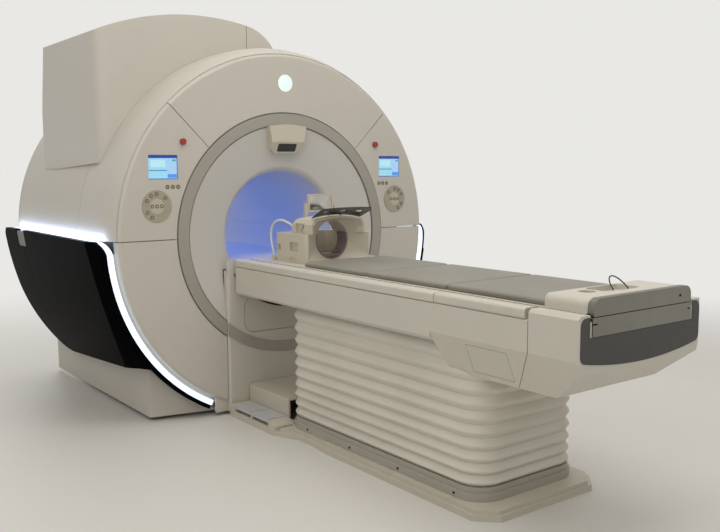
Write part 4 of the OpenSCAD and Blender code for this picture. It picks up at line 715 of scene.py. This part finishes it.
def pad(i, y1, y0):
    """One long foam pad: crowned top, rounded rim with a sewn edge, long sides that pull in."""
    hx, hy = PAD_X - GAP_SIDE, (y1 - y0) / 2 - GAP_END
    cy = (y0 + y1) / 2
    z0, z1 = plo[2] + GAP_SEAT, phi[2]
    th = z1 - z0
    r = HEAD_CORNER if i == 0 else PLAIN_CORNER
    rings = []
    for dz, inset in PAD_RIM:
        ring = []
        for x, y in round_rect(hx - inset, hy - inset, max(r - inset, 0.004), 8):
            fx, fy = x / hx, y / hy
            pull = PULL * (1 - fy * fy) if abs(fx) > 0.9 else 0
            ring.append((x - math.copysign(pull, x), cy + y, z0 + th * dz * RIM))
        rings.append(ring)
    v, f = loft(rings, caps=False)
    n = len(rings[0])
    # crowned top as shrinking rings
    last = rings[-1]
    start = len(v) - n
    for s in CROWN_RINGS:
        ring = [(x * s, cy + (y - cy) * s, z0 + th * (1 - CROWN + CROWN * (1 - s ** 4))
                 + WAVES * math.sin(31 * y + 17 * x) * (1 - s)) for x, y, z in last]
        k = len(v)
        v += ring
        f += [(start + a, start + (a + 1) % n, k + (a + 1) % n, k + a) for a in range(n)]
        start = k
    f.append(tuple(start + a for a in range(n)))
    f.append(tuple(reversed(range(n))))
    o = from_data("table_pad_%d" % i, v, f, body=None, mat=MATS["pad_cover"], smooth=60)
    # slow dents in the foam's upper face
    for vert in o.data.vertices:
        x, y, z = vert.co
        if z > z1 - DENT_REACH:
            vert.co.z = min(z + DENT * wave((x * 5, y * 5, i)), z1 - GAP_SEAT)
    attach(o, "cradle_body")
    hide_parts("pads")


for i, (a, b) in enumerate(PAD_ENDS):
    pad(i, a, b)

# Floor, light

BACKDROP, BACKDROP_LIGHT = "F4F3F0", 0.9
FLOOR_HALF, FADE_FROM, FADE_TO = 14, 2.6, 6.0
floor_mesh = bpy.data.meshes.new("floor")
floor_mesh.from_pydata([(x * FLOOR_HALF, y * FLOOR_HALF, 0) for x, y in ((-1, -1), (1, -1), (1, 1), (-1, 1))],
                       [], [(0, 1, 2, 3)])
floor = bpy.data.objects.new("floor", floor_mesh)
scene.collection.objects.link(floor)
m, t, b, pos = base("pale_floor")
put(t, b, "Base Color", ramp(t, noise(t, pos, 0.8, 3), [(0.3, lin("D6D4CF")), (0.7, lin("DAD8D3"))]))
b.inputs["Roughness"].default_value = 0.55
# far from the object the floor fades into the pale background
reach = add(t, "ShaderNodeVectorMath", operation="DISTANCE", links={0: pos})
reach.inputs[1].default_value = (0, 0, 0)
fade = add(t, "ShaderNodeMapRange", values={"From Min": FADE_FROM, "From Max": FADE_TO},
           links={"Value": reach.outputs["Value"]}, interpolation_type="SMOOTHSTEP").outputs["Result"]
pale = add(t, "ShaderNodeEmission", values={"Color": lin(BACKDROP), "Strength": BACKDROP_LIGHT}).outputs[0]
both_ways = add(t, "ShaderNodeMixShader", links={0: fade, 1: b.outputs[0], 2: pale}).outputs[0]
t.links.new(both_ways, t.nodes["Material Output"].inputs["Surface"])
floor_mesh.materials.append(m)


def area(name, loc, target, size, power, code):
    """Rectangular light that looks at a target."""
    d = bpy.data.lights.new(name, "AREA")
    d.shape = "RECTANGLE"
    d.size, d.size_y = size
    d.energy = power
    d.color = lin(code)[:3]
    o = bpy.data.objects.new(name, d)
    scene.collection.objects.link(o)
    o.location = loc
    o.rotation_euler = (Vector(target) - Vector(loc)).to_track_quat("-Z", "Y").to_euler()


# name, place, target, size, power in watts and colour
for light in (
        ("key_light", (-4.3, -3.4, 3.6), (0, -1.0, 0.8), (3.0, 2.4), 38, "FFF9F0"),
        ("fill_light", (3.5, -5.5, 3.2), (0, -0.8, 0.9), (3.0, 3.0), 4, "FFFAF3"),
        ("ceiling_light", (-0.4, -2.0, 4.6), (0, -0.5, 1.2), (3.5, 1.6), 54, "FFFAF3"),
        ("top_light", (0.5, 0.8, 5.5), (0, 0, 0.5), (5.0, 5.0), 27, "FFFBF5"),
        ("back_light", (1.0, 6.0, 3.0), (0, 1, 1), (4.0, 2.5), 60, "FFFFFF"),
        # blue light inside the bore, then the glow of the strips on the barrel above the pods
        ("bore_light", (0.0, 0.85, 1.32), (0, 0.85, 0.9), (0.35, 1.3), 9.0, "3F74EE"),
        ("strip_glow", (-1.052, 0.80, 0.990), (-0.985, 0.80, 1.075), (1.44, 0.012), 1.3, "C4D8FF"),
        ("strip_glow", (1.052, 0.80, 0.990), (0.985, 0.80, 1.075), (1.44, 0.012), 1.3, "C4D8FF")):
    area(*light)

world = bpy.data.worlds.new("soft_room")
scene.world = world
world.use_nodes = True
wt = world.node_tree
wt.nodes.clear()
# the camera, glass and reflections see the pale backdrop, and all else is lit by the soft room
ray = add(wt, "ShaderNodeLightPath").outputs
seen = ray["Is Camera Ray"]
for kind in ("Is Transmission Ray", "Is Glossy Ray"):
    seen = add(wt, "ShaderNodeMath", operation="ADD", links={0: seen, 1: ray[kind]},
               use_clamp=True).outputs[0]
# soft room light that comes from the ceiling more than from the walls
LOW_LIGHT, HIGH_LIGHT = 0.16, 0.78
way = add(wt, "ShaderNodeSeparateXYZ", links={"Vector": add(wt, "ShaderNodeTexCoord").outputs["Generated"]})
sky = add(wt, "ShaderNodeMapRange", links={"Value": way.outputs["Z"]}, interpolation_type="SMOOTHSTEP",
          values={"From Min": -0.05, "From Max": 0.9, "To Min": LOW_LIGHT,
                  "To Max": HIGH_LIGHT}).outputs["Result"]
dim = add(wt, "ShaderNodeBackground", values={"Color": lin("EFEDE8")}, links={"Strength": sky})
white = add(wt, "ShaderNodeBackground", values={"Color": lin(BACKDROP), "Strength": BACKDROP_LIGHT})
mixw = add(wt, "ShaderNodeMixShader", links={0: seen, 1: dim.outputs[0], 2: white.outputs[0]})
add(wt, "ShaderNodeOutputWorld", links={"Surface": mixw.outputs[0]})
scene.view_settings.view_transform = "Standard"
